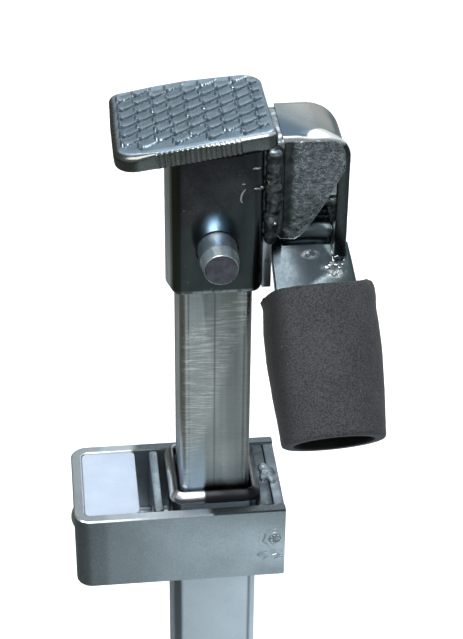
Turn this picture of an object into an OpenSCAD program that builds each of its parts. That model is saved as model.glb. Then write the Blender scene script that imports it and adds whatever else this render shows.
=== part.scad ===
// Head end of a telescoping square-tube stick: a tread plate and a folding rubber-sleeved peg on a
// sprung plunger, which slides in an outer tube that carries a welded strap loop and a rubber foot.
// Millimetres, +Z up the stick, -Y towards the push pin. The origin is on the stick's axis at the
// underside of the foot.

/* [Tubes] */
// Outside width of the outer tube and of the head sleeve
tube_w = 31.75; // [31:0.25:32.5]
// Wall thickness of the outer tube
tube_wall = 3.05; // [2.9:0.05:3.05]
// Outside width of the inner tube
inner_w = 25.4; // [25:0.1:25.4]
// Wall thickness of the inner tube
inner_wall = 2.1; // [1.8:0.1:2.3]
// Height of the top of the strap loop above the ground
loop_top = 190; // [186:1:200]
// Length of the inner tube inside the outer tube, measured from the loop's top
engagement = 62; // [58:1:66]
// Travel of the plunger
stroke = 60; // [40:1:60]

/* [Strap loop] */
// Height of the strap
loop_h = 32.4; // [28:0.1:36]
// Front-to-back width of the loop
loop_d = 44.8; // [42:0.1:48]
// Thickness of the strap
loop_t = 4; // [3:0.5:4.5]
// Distance from the stick's axis to the loop's closed end
loop_left = 53.2; // [52:0.1:56]
// Distance from the stick's axis to the loop's welded end
loop_right = 25.9; // [25:0.1:28]
// Width of the nylon block
block_w = 20.4; // [16:0.1:20.4]
// Thickness of the sliding pressure plate
plate_t = 3.6; // [3:0.1:4]

/* [Head] */
// Height of the head sleeve's lower edge above the loop's top
sleeve_lift = 94.8; // [90:0.1:100]
// Height of the push pin above the sleeve's lower edge
pin_lift = 17.7; // [16:0.1:20]
// Diameter of the push pin
pin_d = 13.7; // [12:0.1:13.8]
// Distance from the stick's axis to the push pin's tip
pin_reach = 29; // [26:0.5:32]
// Thickness of the tread plate without its teeth
tread_t = 6; // [4:0.5:7]
// Sideways tilt of the tread plate
tread_tilt = 6.5; // [0:0.5:8]

/* [Peg] */
// Distance from the stick's axis to the outside of the peg bracket
bracket_reach = 45; // [44:0.5:47]
// Front-to-back width of the bracket strap
bracket_d = 25.4; // [24:0.1:26]
// Forward swing of the peg at rest, measured from hanging straight down
peg_swing = 46.6; // [44:0.1:48]
// Sideways lean of the peg
peg_lean = 1.7; // [0:0.1:2]
// Distance from the hinge pin to the rubber sleeve
peg_start = 23.4; // [23:0.1:26]
// Length of the rubber sleeve
rubber_l = 52; // [46:1:54]
// Outside diameter of the rubber sleeve's open end
rubber_d = 36; // [35:0.5:38]
// Bore of the rubber sleeve
rubber_bore = 26; // [25:0.5:27]

/* [Hidden] */
$fn = 48;
// Foot and lower end
foot_w = 39;
foot_h = 26;
foot_sole = 10;
foot_pin_z = 20;
foot_pin_r = 2.5;
plug_top = 30;
seat_t = 1.5;
seat_r = 12.4;
// Outer tube
tube_half = tube_w / 2;
tube_r = 3.8;
bore_half = tube_half - tube_wall;
bore_r = 2;
// Collar on the outer tube's top
collar_w = 34.4;
collar_h = 4.2;
collar_gap = 0.8;
collar_z = loop_top + collar_gap;
collar_top = collar_z + collar_h;
// Inner tube
inner_half = inner_w / 2;
inner_r = 2.5;
inner_bore = inner_half - inner_wall;
inner_bore_r = 1.2;
inner_z = loop_top - engagement;
inner_top = loop_top + 140;
guide_flange = 4;
guide_z = inner_z - guide_flange;
guide_h = 12;
guide_pin_r = 1.5;
guide_pin_z = inner_z + 4;
// Travel screw in the outer tube's back and the slot that it runs in
screw_r = 2.5;
screw_z = inner_z + 10;
screw_head_r = 4.6;
screw_head_h = 2.8;
slot_half = 2.8;
slot_low = screw_z - slot_half - 0.3;
slot_high = screw_z + stroke + slot_half + 0.3;
// Main spring
spring_z0 = plug_top + seat_t;
spring_z1 = guide_z;
spring_wire = 3;
spring_r = 9.2;
spring_turns = 10;
// Loop contents
loop_bottom = loop_top - loop_h;
loop_mid = loop_top - loop_h / 2;
loop_inner_half = loop_d / 2 - loop_t;
loop_corner = 6;
block_left = loop_left - loop_t - 0.2;
block_right = block_left - block_w;
plate_left = block_right - 5.4;
plate_right = plate_left - plate_t;
bolt_r = 2.5;
bolt_head_r = 3.8;
bolt_head_h = 1.1;
bolt_end = 17;
end_split = 21.6;
// Head sleeve
sleeve_z = loop_top + sleeve_lift;
sleeve_wall = 3;
sleeve_bore = tube_half - sleeve_wall;
sleeve_hem = 3.5;
skirt_slant = 32;
pin_z = sleeve_z + pin_lift;
pin_r = pin_d / 2;
pin_hole = pin_r + 0.4;
pin_flange_r = 9;
pin_flange_t = 2;
pin_nose_r = 5.75;
pin_taper = 5.5;
pin_tail_r = 3;
pin_tail_l = 2.2;
pin_back = inner_bore - 0.1;
pin_wire = 0.8;
pin_spring_r = 5;
// Tread plate, drawn flat about its own reference point and then tilted
tread_x = -6;
tread_z = loop_top + 146.8;
// Corners of its outline, anticlockwise from the near left, and the radius at each
tread_points = [[-27.9, -17.5], [26.2, -14.5], [25.6, 29.8], [0, 31.8], [-27.3, 29.4], [-28, 8]];
tread_radii = [8, 3, 8, 60, 3.5, 90];
tooth_cols = 9;
tooth_rows = 7;
tooth_pitch_x = 5.7;
tooth_pitch_y = 6.2;
tooth_first_x = -24.2;
tooth_first_y = -9;
tooth_shift = -3.1;
tooth_h = 1.3;
rib_first = -13.4;
rib_count = 17;
rib_pitch = 1.7;
rib_r = 0.6;
// Peg bracket
bracket_half = bracket_d / 2;
bracket_top = loop_top + 152.6;
web_t = 3.2;
web_z = loop_top + 94;
web_top = loop_top + 149;
strap_t = 4.2;
strap_left = tube_half + web_t;
strap_low = loop_top + 114;
leg_low = loop_top + 104.6;
hood_r = 13;
cheek_t = 3.5;
hinge_y = -2;
hinge_z = loop_top + 110;
hinge_r = 3.5;
ear_gap = 0.3;
knuckle_r = 6.5;
knuckle_x0 = strap_left + strap_t + ear_gap;
knuckle_x1 = bracket_reach - strap_t - ear_gap;
hinge_run = 0.06;
stop_r = 2.5;
stop_s = 9;
// Peg
peg_x = 33.8;
tongue_t = 5;
tongue_w = 28.4;
neck_left = peg_x - strap_left - 0.4;
shoulder_s = 12.2;
ear_s = 5.5;
heel_s = 12;
bore_rim = rubber_bore / 2;
core_r = bore_rim - 1;
core_wall = 2;
core_s = peg_start + 6;
core_l = 22;
tail_half = core_r - core_wall - 0.1;
socket_l = 22;
rubber_bulge = 20;

// ---- Shared shapes ----

// Rectangle with round corners, centred
module round_rect(w, d, r) {
    square([w - 2 * r, d], center = true);
    square([w, d - 2 * r], center = true);
    for (sx = [-1, 1], sy = [-1, 1])
        translate([sx * (w / 2 - r), sy * (d / 2 - r)]) circle(r);
}

// Square bar with round edges, standing on z
module square_bar(w, r, z, h) {
    translate([0, 0, z]) linear_extrude(height = h) round_rect(w, w, r);
}

// What a round corner of radius r cuts off a square corner at the origin
module corner_cut(r) {
    difference() {
        translate([-1, -1]) square(r + 1);
        translate([r, r]) circle(r);
    }
}

// Cylinder between two x positions
module x_rod(r, x0, x1, y, z) {
    translate([x0, y, z]) rotate([0, 90, 0]) cylinder(r = r, h = x1 - x0);
}

// Cylinder between two y positions
module y_rod(r, y0, y1, x, z) {
    translate([x, y0, z]) rotate([-90, 0, 0]) cylinder(r = r, h = y1 - y0);
}

// Compression spring along z: a round wire swept along a helix whose end turns close up
function ease(t, turns) =
    let (k = 1 / turns, s = min(max((t - k) / (1 - 2 * k), 0), 1)) s;
function coil_point(t, r, turns, h, wire) =
    let (a = 360 * turns * t, lead = wire * min(t * turns, 1) + wire * max(t * turns - turns + 1, 0))
    [r * cos(a), r * sin(a), wire / 2 + lead + (h - 3 * wire) * ease(t, turns)];
module coil(r, wire, turns, h, per_turn = 18, sides = 8) {
    n = turns * per_turn;
    ring = [for (i = [0:n]) let (t = i / n, c = coil_point(t, r, turns, h, wire), a = 360 * turns * t)
        [for (j = [0:sides - 1]) let (b = 360 * j / sides)
            [c[0] + wire / 2 * cos(b) * cos(a), c[1] + wire / 2 * cos(b) * sin(a),
                c[2] + wire / 2 * sin(b)]]];
    points = [for (q = ring) each q];
    walls = [for (i = [0:n - 1], j = [0:sides - 1])
        let (a = i * sides + j, b = i * sides + (j + 1) % sides) [a, b, b + sides, a + sides]];
    ends = [[for (j = [sides - 1:-1:0]) j], [for (j = [0:sides - 1]) n * sides + j]];
    polyhedron(points, concat(walls, ends), convexity = 10);
}

// ---- Outer tube and foot ----

module rubber_foot() {
    color("#232323") difference() {
        union() {
            translate([0, 0, 2]) linear_extrude(height = foot_h - 2) round_rect(foot_w, foot_w, 6);
            linear_extrude(height = 2) round_rect(foot_w - 3, foot_w - 3, 5);
        }
        square_bar(tube_w, tube_r, foot_sole, foot_h);
        x_rod(foot_pin_r, -foot_w, foot_w, 0, foot_pin_z);
    }
}

module foot_pin() {
    color("#9aa0a3") x_rod(foot_pin_r, -foot_w / 2, foot_w / 2, 0, foot_pin_z);
}

module end_plug() {
    color("#7d8285") difference() {
        square_bar(2 * bore_half, bore_r, foot_sole, plug_top - foot_sole);
        x_rod(foot_pin_r, -foot_w, foot_w, 0, foot_pin_z);
    }
}

module spring_seat() {
    color("#9aa0a3") translate([0, 0, plug_top]) cylinder(r = seat_r, h = seat_t);
}

module outer_tube() {
    color("#a9b8c2") difference() {
        square_bar(tube_w, tube_r, foot_sole, collar_z - foot_sole);
        square_bar(2 * bore_half, bore_r, foot_sole - 1, collar_z);
        x_rod(foot_pin_r, -foot_w, foot_w, 0, foot_pin_z);
        y_rod(screw_r, 0, foot_w, 0, screw_z);
    }
}

module travel_screw() {
    color("#8d9498") {
        y_rod(screw_r, inner_half - 1.8, tube_half, 0, screw_z);
        y_rod(screw_head_r, tube_half, tube_half + screw_head_h, 0, screw_z);
    }
}

module tube_collar() {
    color("#77767c") difference() {
        square_bar(collar_w, 5, collar_z, collar_h);
        square_bar(inner_w + 0.5, inner_r, collar_z - 1, collar_h + 2);
    }
}

// ---- Strap loop ----

module clamp_loop() {
    corner_in = loop_corner - loop_t;
    length = loop_left + loop_right;
    color("#7f8f9b") difference() {
        translate([(loop_right - loop_left) / 2, 0, loop_bottom]) linear_extrude(height = loop_h)
            round_rect(length, loop_d, loop_corner);
        translate([-loop_left + loop_t + 50, 0, loop_bottom - 1]) linear_extrude(height = loop_h + 2)
            round_rect(100, 2 * loop_inner_half, corner_in);
        x_rod(bolt_r, -loop_left - 1, 0, 0, loop_mid);
    }
    color("#7f8f9b") for (s = [-1, 1])
        translate([loop_right - loop_corner, s * (loop_d / 2 - loop_t / 2), loop_mid])
            cube([2 * loop_corner, loop_t, loop_h], center = true);
}

module end_plate(x0, x1) {
    translate([x0, -loop_inner_half, loop_bottom]) cube([x1 - x0, 2 * loop_inner_half, loop_h - 0.4]);
}

module end_plate_inner() {
    color("#8a979f") end_plate(tube_half, end_split - 0.1);
}

module end_plate_outer() {
    color("#8a979f") end_plate(end_split, loop_right - 0.2);
}

// Short bead across the seam of the two end plates, halfway along
module end_seam_weld() {
    color("#9aa6ac") intersection() {
        translate([end_split, 0, loop_top - 0.4]) sphere(r = 3.4);
        translate([end_split - 4, -5, loop_top - 0.4]) cube([8, 10, 1.2]);
    }
}

// One round plug weld through each leg of the strap into the end plates
module plug_welds() {
    color("#a8a79f") for (s = [-1, 1])
        translate([end_split + 0.6, s * (loop_d / 2), loop_mid + 2.4]) rotate([s * -90, 0, 0])
            cylinder(r = 3.2, h = 0.7);
}

module nylon_block() {
    color("#dfe8f4") difference() {
        translate([-(block_left + block_right) / 2, 0, loop_bottom + 0.6]) linear_extrude(height = loop_h - 1)
            round_rect(block_w, 2 * loop_inner_half - 0.4, 2);
        x_rod(bolt_r, -loop_left, 0, 0, loop_mid);
    }
}

// Domed head outside the loop, plain shank through the block, and the end that carries the plate
module guide_bolt() {
    dome_r = (bolt_head_r * bolt_head_r + bolt_head_h * bolt_head_h) / (2 * bolt_head_h);
    color("#8d9498") {
        x_rod(bolt_r, -loop_left, -bolt_end, 0, loop_mid);
        intersection() {
            x_rod(bolt_head_r, -loop_left - bolt_head_h, -loop_left, 0, loop_mid);
            translate([-loop_left - bolt_head_h + dome_r, 0, loop_mid]) sphere(r = dome_r, $fn = 96);
        }
    }
}

module pressure_plate() {
    color("#6f8490") difference() {
        translate([-(plate_left + plate_right) / 2, 0, loop_bottom + 0.8])
            linear_extrude(height = loop_h - 1.1) round_rect(plate_t, 2 * loop_inner_half - 1, 1.5);
        x_rod(bolt_r + 0.08, -loop_left, 0, 0, loop_mid);
    }
}

// ---- Plunger ----

module inner_tube() {
    color("#a3adb0") difference() {
        square_bar(inner_w, inner_r, inner_z, inner_top - inner_z);
        square_bar(2 * inner_bore, inner_bore_r, inner_z - 1, inner_top);
        y_rod(pin_r + 0.1, -inner_w, 0, 0, pin_z);
        y_rod(slot_half, 0, inner_w, 0, slot_low + slot_half);
        y_rod(slot_half, 0, inner_w, 0, slot_high - slot_half);
        translate([-slot_half, 0, slot_low + slot_half])
            cube([2 * slot_half, inner_w, slot_high - slot_low - 2 * slot_half]);
        x_rod(guide_pin_r, -inner_w, inner_w, 0, guide_pin_z);
    }
}

module guide_plug() {
    color("#e4e4e0") difference() {
        union() {
            square_bar(inner_w - 0.2, inner_r, guide_z, guide_flange);
            square_bar(2 * inner_bore, inner_bore_r, inner_z, guide_h - guide_flange);
        }
        x_rod(guide_pin_r, -inner_w, inner_w, 0, guide_pin_z);
    }
}

module guide_plug_pin() {
    color("#8d9498") x_rod(guide_pin_r, -inner_half + 0.1, inner_half - 0.1, 0, guide_pin_z);
}

module main_spring() {
    color("#6d7276") translate([0, 0, spring_z0])
        coil(spring_r, spring_wire, spring_turns, spring_z1 - spring_z0);
}

module tube_top_cap() {
    color("#2a2a2a") square_bar(2 * inner_bore, inner_bore_r, inner_top - 6, 6);
}

module head_sleeve() {
    tall = 110;
    skirt = tube_w * tan(skirt_slant);
    color("#3c4145") difference() {
        intersection() {
            square_bar(tube_w, tube_r, sleeve_z - skirt, tall);
            translate([0, -tube_half, sleeve_z]) rotate([-skirt_slant, 0, 0])
                translate([0, -70, tall / 2]) rotate([-90, 0, 0])
                    linear_extrude(height = 160) round_rect(tube_w, tall, sleeve_hem);
        }
        square_bar(2 * sleeve_bore, bore_r, sleeve_z - skirt - 1, tall + 2);
        y_rod(pin_hole, -tube_w, 0, 0, pin_z);
        under_tread() translate([-60, -60, 0]) cube([120, 120, 80]);
    }
}

// Tread plate's own frame: z = 0 is its underside
module under_tread() {
    translate([tread_x, 0, tread_z]) rotate([0, -tread_tilt, 0]) children();
}

// Points of an arc of radius r that rounds the corner b between a and c of an anticlockwise outline
function unit(v) = v / norm(v);
function corner_arc(a, b, c, r, steps = 10) =
    let (u = unit(a - b), w = unit(c - b), half = acos(u * w) / 2, m = b + unit(u + w) * r / sin(half),
        p = b + u * r / tan(half) - m, start = atan2(p[1], p[0]), sweep = 180 - 2 * half)
    [for (k = [0:steps]) m + r * [cos(start + sweep * k / steps), sin(start + sweep * k / steps)]];

module tread_outline() {
    n = len(tread_points);
    polygon([for (i = [0:n - 1])
        let (a = tread_points[(i + n - 1) % n], b = tread_points[i], c = tread_points[(i + 1) % n])
            each corner_arc(a, b, c, tread_radii[i])]);
}

// Claw with a sharp near end
module tread_tooth() {
    rotate([-90, 0, 0]) linear_extrude(height = 3.8)
        polygon([[-2.3, 0], [0, -tooth_h], [2.7, 0]]);
}

// Depth of the near edge at a place along it
function near_edge(x) = let (a = tread_points[0], b = tread_points[1])
    a[1] + (x - a[0]) * (b[1] - a[1]) / (b[0] - a[0]);

module tread_plate() {
    color("#6c8292") under_tread() {
        linear_extrude(height = tread_t) tread_outline();
        for (i = [0:tooth_cols - 1], j = [0:tooth_rows - 1])
            let (y = tooth_first_y + (i % 2) * tooth_shift + j * tooth_pitch_y)
                if (y < 25.5) translate([tooth_first_x + i * tooth_pitch_x, y, tread_t]) tread_tooth();
        for (i = [0:rib_count - 1]) let (x = rib_first + i * rib_pitch)
            translate([x, near_edge(x), 0.8]) cylinder(r = rib_r, h = tread_t - 1.6, $fn = 16);
    }
}

// Fillet weld under the plate along the sleeve's left side
module tread_weld() {
    color("#565c60") difference() {
        under_tread() translate([tread_x - 11.3, -12, 0]) rotate([-90, 0, 0]) cylinder(r = 2.6, h = 24);
        under_tread() translate([-60, -60, 0]) cube([120, 120, 20]);
        translate([-tube_half, -tube_w, sleeve_z]) cube([tube_w, 2 * tube_w, 80]);
    }
}

// ---- Peg bracket ----

// Flat plate against the sleeve's right side, which carries the near end of the hinge pin
module bracket_web() {
    color("#8b9a9d") difference() {
        translate([tube_half, -bracket_half, web_z]) cube([web_t, bracket_d, web_top - web_z]);
        x_rod(hinge_r, 0, strap_left + 1, hinge_y, hinge_z);
        x_rod(stop_r, 0, strap_left + 1, stop_y(), stop_z());
    }
}

// Stop pin's place: on the upper face of the arm's heel, with a small gap
function stop_off() = tongue_t / 2 + stop_r + 0.3;
function stop_y() = hinge_y + stop_s * sin(peg_swing) - stop_off() * cos(peg_swing);
function stop_z() = hinge_z + stop_s * cos(peg_swing) + stop_off() * sin(peg_swing);

module strap_profile() {
    difference() {
        translate([strap_left, leg_low]) square([bracket_reach - strap_left, bracket_top - leg_low]);
        translate([strap_left + strap_t, leg_low - 1])
            square([bracket_reach - strap_left - 2 * strap_t, bracket_top - strap_t - hood_r - leg_low + 6]);
        translate([strap_left + strap_t, bracket_top - strap_t - hood_r]) square([10, hood_r]);
        translate([bracket_reach - hood_r, bracket_top - hood_r]) circle(hood_r - strap_t);
        translate([bracket_reach - hood_r - 6, bracket_top - hood_r - 1]) square([6, hood_r - strap_t + 1]);
        translate([bracket_reach, bracket_top]) rotate(180) corner_cut(hood_r);
        translate([strap_left - 1, leg_low - 1]) square([strap_t + 2, strap_low - leg_low + 1]);
    }
}

module cheek_profile() {
    x0 = 22.4;
    z0 = loop_top;
    difference() {
        polygon([[x0, z0 + 117], [25, z0 + 113.6], [28.5, z0 + 114.6], [31.6, z0 + 118.6],
            [36.2, z0 + 126.2], [41.6, z0 + 136.8], [44, z0 + 142], [44, z0 + 151.6], [x0, z0 + 151.6]]);
        translate([44, z0 + 151.6]) rotate(180) corner_cut(11.5);
    }
}

// Extrudes an x-z outline between two y positions
module along_y(y0, y1) {
    translate([0, y1, 0]) rotate([90, 0, 0]) linear_extrude(height = y1 - y0) children();
}

module bracket_strap() {
    color("#7c8382") difference() {
        along_y(-bracket_half, bracket_half) strap_profile();
        along_y(-bracket_half - 1, -bracket_half + cheek_t) cheek_profile();
        x_rod(hinge_r, peg_x, bracket_reach + 1, hinge_y, hinge_z);
        x_rod(stop_r, 0, bracket_reach - 1.5, stop_y(), stop_z());
        translate([0, -tube_w, web_top]) cube([strap_left + 1.1, 2 * tube_w, 10]);
    }
}

module cheek_plate() {
    color("#4a5055") along_y(-bracket_half, -bracket_half + cheek_t) cheek_profile();
}

// Vertical bead that joins the web's front edge to the sleeve's corner
module web_weld() {
    bead_z = loop_top + 112;
    bead_h = web_top - bead_z - 0.2;
    color("#3f4447") difference() {
        translate([strap_left - 0.6, -bracket_half - 0.4, bead_z]) cylinder(r = 3, h = bead_h);
        translate([tube_half, -bracket_half, bead_z - 1]) cube([40, bracket_d, 60]);
        translate([0, -tube_w, bead_z - 1]) cube([tube_half, 2 * tube_w, 60]);
    }
}

module hinge_pin() {
    color("#8d9498") x_rod(hinge_r, tube_half, bracket_reach, hinge_y, hinge_z);
}

module stop_pin() {
    color("#8d9498") x_rod(stop_r, tube_half, bracket_reach - 1.5, stop_y(), stop_z());
}

// ---- Push pin ----

module push_pin() {
    color("#8b99a3") translate([0, 0, pin_z]) rotate([90, 0, 0]) rotate_extrude()
        polygon([[0, pin_back - pin_flange_t - pin_tail_l],
            [pin_tail_r, pin_back - pin_flange_t - pin_tail_l],
            [pin_tail_r, pin_back - pin_flange_t], [pin_flange_r, pin_back - pin_flange_t],
            [pin_flange_r, pin_back], [pin_r, pin_back], [pin_r, pin_reach - pin_taper],
            [pin_nose_r, pin_reach], [0, pin_reach]]);
}

module pin_spring() {
    front = -(pin_back - pin_flange_t);
    color("#a0a5a8") translate([0, front, pin_z]) rotate([-90, 0, 0])
        coil(pin_spring_r, pin_wire, 4, inner_bore - front, 16, 6);
}

// ---- Peg, drawn hanging from the hinge pin and then swung forward ----

module swung() {
    translate([peg_x, hinge_y, hinge_z]) rotate([-peg_swing, 0, 0]) children();
}

module leaned() {
    rotate([0, -peg_lean, 0]) children();
}

module tongue_profile() {
    half = tongue_w / 2;
    leg_in = knuckle_x1 - peg_x;
    leg_out = bracket_reach - peg_x + ear_gap;
    polygon([[-neck_left, -3.6], [knuckle_x0 - peg_x, -3.6], [knuckle_x0 - peg_x, heel_s], [leg_in, heel_s],
        [leg_in, -shoulder_s], [leg_out, -shoulder_s], [leg_out, -ear_s], [leg_out + 1, -ear_s],
        [leg_out + 2, -shoulder_s], [half + 0.7, -peg_start],
        [half + 0.9, -core_s], [tail_half, -core_s], [tail_half, -core_s - core_l + 4],
        [-tail_half + 1, -core_s - core_l + 4], [-tail_half + 1, -core_s], [-half + 0.7, -core_s]]);
}

module peg_arm() {
    color("#94a5b0") swung() difference() {
        union() {
            translate([0, tongue_t / 2, 0]) rotate([90, 0, 0])
                linear_extrude(height = tongue_t) tongue_profile();
            x_rod(knuckle_r, knuckle_x0 - peg_x, knuckle_x1 - peg_x, 0, 0);
        }
        x_rod(hinge_r + hinge_run, -30, 30, 0, 0);
    }
}

// Round tube welded on the arm's end, which fills the rubber sleeve's bore
module peg_core() {
    color("#7d8285") difference() {
        swung() leaned() translate([0, 0, -core_s - core_l]) difference() {
            cylinder(r = core_r - 0.05, h = core_l);
            translate([0, 0, -1]) cylinder(r = core_r - core_wall, h = core_l + 2);
        }
        peg_arm();
    }
}

// Half section: a socket at the open end, a relief groove behind it, and a tighter bore on the core
module rubber_profile() {
    r0 = rubber_d / 2;
    mouth = -peg_start - rubber_l;
    translate([bore_rim, mouth]) square([r0 - bore_rim - 0.6, 0.8]);
    polygon([[bore_rim, mouth + 0.7], [r0, mouth + 0.7], [r0 + 1.3, mouth + 18],
        [rubber_bulge, -peg_start - 22], [rubber_bulge, -peg_start - 12],
        [rubber_bulge - 0.7, -peg_start - 4], [rubber_bulge - 1.6, -peg_start], [core_r, -peg_start],
        [core_r, -core_s - core_l], [bore_rim + 1, -core_s - core_l], [bore_rim + 1, mouth + socket_l],
        [bore_rim, mouth + socket_l]]);
}

module rubber_sleeve() {
    color("#38373b") difference() {
        swung() leaned() rotate_extrude() rubber_profile();
        peg_arm();
    }
}

rubber_foot();
foot_pin();
end_plug();
spring_seat();
outer_tube();
travel_screw();
tube_collar();
clamp_loop();
end_plate_inner();
end_plate_outer();
end_seam_weld();
plug_welds();
nylon_block();
guide_bolt();
pressure_plate();
inner_tube();
guide_plug();
guide_plug_pin();
main_spring();
tube_top_cap();
head_sleeve();
tread_plate();
tread_weld();
bracket_web();
bracket_strap();
cheek_plate();
web_weld();
hinge_pin();
stop_pin();
push_pin();
pin_spring();
peg_arm();
peg_core();
rubber_sleeve();
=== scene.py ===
import math
import random

import bmesh
import bpy
from mathutils import Matrix, Vector, noise


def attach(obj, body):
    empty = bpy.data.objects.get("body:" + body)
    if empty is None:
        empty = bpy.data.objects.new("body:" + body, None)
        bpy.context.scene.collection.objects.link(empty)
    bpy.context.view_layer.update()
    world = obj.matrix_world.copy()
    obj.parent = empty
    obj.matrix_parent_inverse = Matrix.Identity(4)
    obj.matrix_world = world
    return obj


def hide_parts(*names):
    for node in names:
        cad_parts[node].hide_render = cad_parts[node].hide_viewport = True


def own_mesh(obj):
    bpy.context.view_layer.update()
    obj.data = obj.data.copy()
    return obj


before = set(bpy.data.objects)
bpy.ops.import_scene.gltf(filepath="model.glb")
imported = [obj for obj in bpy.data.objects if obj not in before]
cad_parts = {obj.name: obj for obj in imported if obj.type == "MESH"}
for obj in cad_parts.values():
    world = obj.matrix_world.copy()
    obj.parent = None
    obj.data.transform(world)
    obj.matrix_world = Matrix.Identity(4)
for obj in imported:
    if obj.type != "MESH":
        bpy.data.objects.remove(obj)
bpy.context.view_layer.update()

MM = 0.001
RANDOM = random.Random(7)

# Main sizes in millimetres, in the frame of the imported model
LOOP_TOP = 190.0
LOOP_FACE = 22.4
PLUG_X, PLUG_Z = 22.2, 176.2
TUBE_HALF = 15.875
INNER_HALF = 12.7
SPRING_LOW, SPRING_HIGH = 31.5, 124.0
HEAD_TOP_Z = 336.8
TREAD_X = -6.0
TREAD_TILT = math.radians(6.5)
TREAD_T = 6.0
PIN_Z = 302.5
HOOD_BEND = (32.0, 329.6)
HOOD_OUTER, HOOD_INNER = 13.0, 8.8
HOOD_RIGHT = HOOD_BEND[0] + HOOD_OUTER
HOOD_TOP = HOOD_BEND[1] + HOOD_OUTER
HOOD_LOW = 294.8
HOOD_HALF = 12.7
PEG_PIVOT = Vector((33.8, -2.0, 300.0))
PEG_SWING = math.radians(46.6)
PEG_LEAN = math.radians(1.7)
CAMERA_PLACE = Vector((-0.05343, -0.52287, 0.62470))
FOCAL_PIXELS, IMAGE_HEIGHT = 1774, 639


# ---- Mesh tools: all lengths in millimetres ----

def make_object(name, verts, faces):
    """A mesh object at the origin from points in millimetres."""
    mesh = bpy.data.meshes.new(name)
    mesh.from_pydata([[c * MM for c in v] for v in verts], [], faces)
    obj = bpy.data.objects.new(name, mesh)
    bpy.context.scene.collection.objects.link(obj)
    return obj


def edit(obj, work):
    """Runs work(bm) on the object's mesh and writes it back."""
    bm = bmesh.new()
    bm.from_mesh(obj.data)
    work(bm)
    bm.to_mesh(obj.data)
    bm.free()
    obj.data.update()


def apply_modifiers(obj):
    """Replaces the mesh by what its modifiers give."""
    graph = bpy.context.evaluated_depsgraph_get()
    mesh = bpy.data.meshes.new_from_object(obj.evaluated_get(graph))
    obj.modifiers.clear()
    old = obj.data
    obj.data = mesh
    bpy.data.meshes.remove(old)


def fix_normals(obj):
    edit(obj, lambda bm: bmesh.ops.recalc_face_normals(bm, faces=bm.faces))


def clean(obj, flat=0.6):
    """Merges double points and joins the triangles of flat faces."""
    def work(bm):
        bmesh.ops.remove_doubles(bm, verts=bm.verts, dist=0.004 * MM)
        bmesh.ops.dissolve_limit(bm, angle_limit=math.radians(flat), verts=bm.verts, edges=bm.edges)
        bmesh.ops.recalc_face_normals(bm, faces=bm.faces)
    edit(obj, work)


def bevel(obj, width, segments, angle=34):
    """Rounds the edges that turn by more than an angle in degrees."""
    def work(bm):
        limit = math.radians(angle)
        chosen = [e for e in bm.edges if len(e.link_faces) == 2 and e.calc_face_angle(0) >= limit]
        bmesh.ops.bevel(bm, geom=chosen, offset=width * MM, segments=segments, profile=0.5,
                        affect="EDGES", clamp_overlap=True)
    edit(obj, work)


def remesh(obj, voxel, relax=2):
    """Makes an even skin of small faces, for rough and welded shapes."""
    mod = obj.modifiers.new("remesh", "REMESH")
    mod.mode = "VOXEL"
    mod.voxel_size = voxel * MM
    mod.use_smooth_shade = True
    apply_modifiers(obj)
    if relax:
        edit(obj, lambda bm: [bmesh.ops.smooth_vert(bm, verts=bm.verts, factor=0.5, use_axis_x=True,
                                                    use_axis_y=True, use_axis_z=True) for _ in range(relax)])


def displace(obj, height):
    """Moves each point along its normal by height(point in mm), in millimetres."""
    def work(bm):
        bm.normal_update()
        moves = [(v, v.normal * height(v.co / MM) * MM) for v in bm.verts]
        for v, move in moves:
            v.co += move
    edit(obj, work)


def warp(obj, shift):
    """Moves each point by shift(point in mm), a vector in millimetres."""
    def work(bm):
        for v in bm.verts:
            v.co += shift(v.co / MM) * MM
    edit(obj, work)


def cut(obj, tool):
    """Cuts a tool object's shape out, and removes the tool."""
    mod = obj.modifiers.new("cut", "BOOLEAN")
    mod.operation = "DIFFERENCE"
    mod.solver = "EXACT"
    mod.object = tool
    apply_modifiers(obj)
    mesh = tool.data
    bpy.data.objects.remove(tool)
    bpy.data.meshes.remove(mesh)


def join(name, parts):
    """One object from several."""
    verts, faces = [], []
    for part in parts:
        base = len(verts)
        verts += [list(part.matrix_world @ v.co / MM) for v in part.data.vertices]
        faces += [[base + i for i in p.vertices] for p in part.data.polygons]
        mesh = part.data
        bpy.data.objects.remove(part)
        bpy.data.meshes.remove(mesh)
    return make_object(name, verts, faces)


def from_cad(name, node, width, segments=2):
    """A copy of a CAD node's shape with its edges broken."""
    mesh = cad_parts[node].data.copy()
    mesh.materials.clear()
    obj = bpy.data.objects.new(name, mesh)
    bpy.context.scene.collection.objects.link(obj)
    clean(obj)
    bevel(obj, width, segments)
    return obj


def ring_faces(rings, per_ring, closed_ring=True):
    """Quads between successive rings of the same number of points."""
    faces = []
    last = per_ring if closed_ring else per_ring - 1
    for i in range(rings - 1):
        for j in range(last):
            a = i * per_ring + j
            b = i * per_ring + (j + 1) % per_ring
            faces.append([a, b, b + per_ring, a + per_ring])
    return faces


def loft(name, rings, cap_start=False, cap_end=False, loop=False):
    """A skin over rings of points; loop joins the last ring to the first."""
    per_ring = len(rings[0])
    verts = [p for ring in rings for p in ring]
    faces = ring_faces(len(rings), per_ring)
    if loop:
        base = (len(rings) - 1) * per_ring
        faces += [[base + j, base + (j + 1) % per_ring, (j + 1) % per_ring, j] for j in range(per_ring)]
    if cap_start:
        faces.append(list(range(per_ring))[::-1])
    if cap_end:
        faces.append([(len(rings) - 1) * per_ring + j for j in range(per_ring)])
    return make_object(name, verts, faces)


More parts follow.
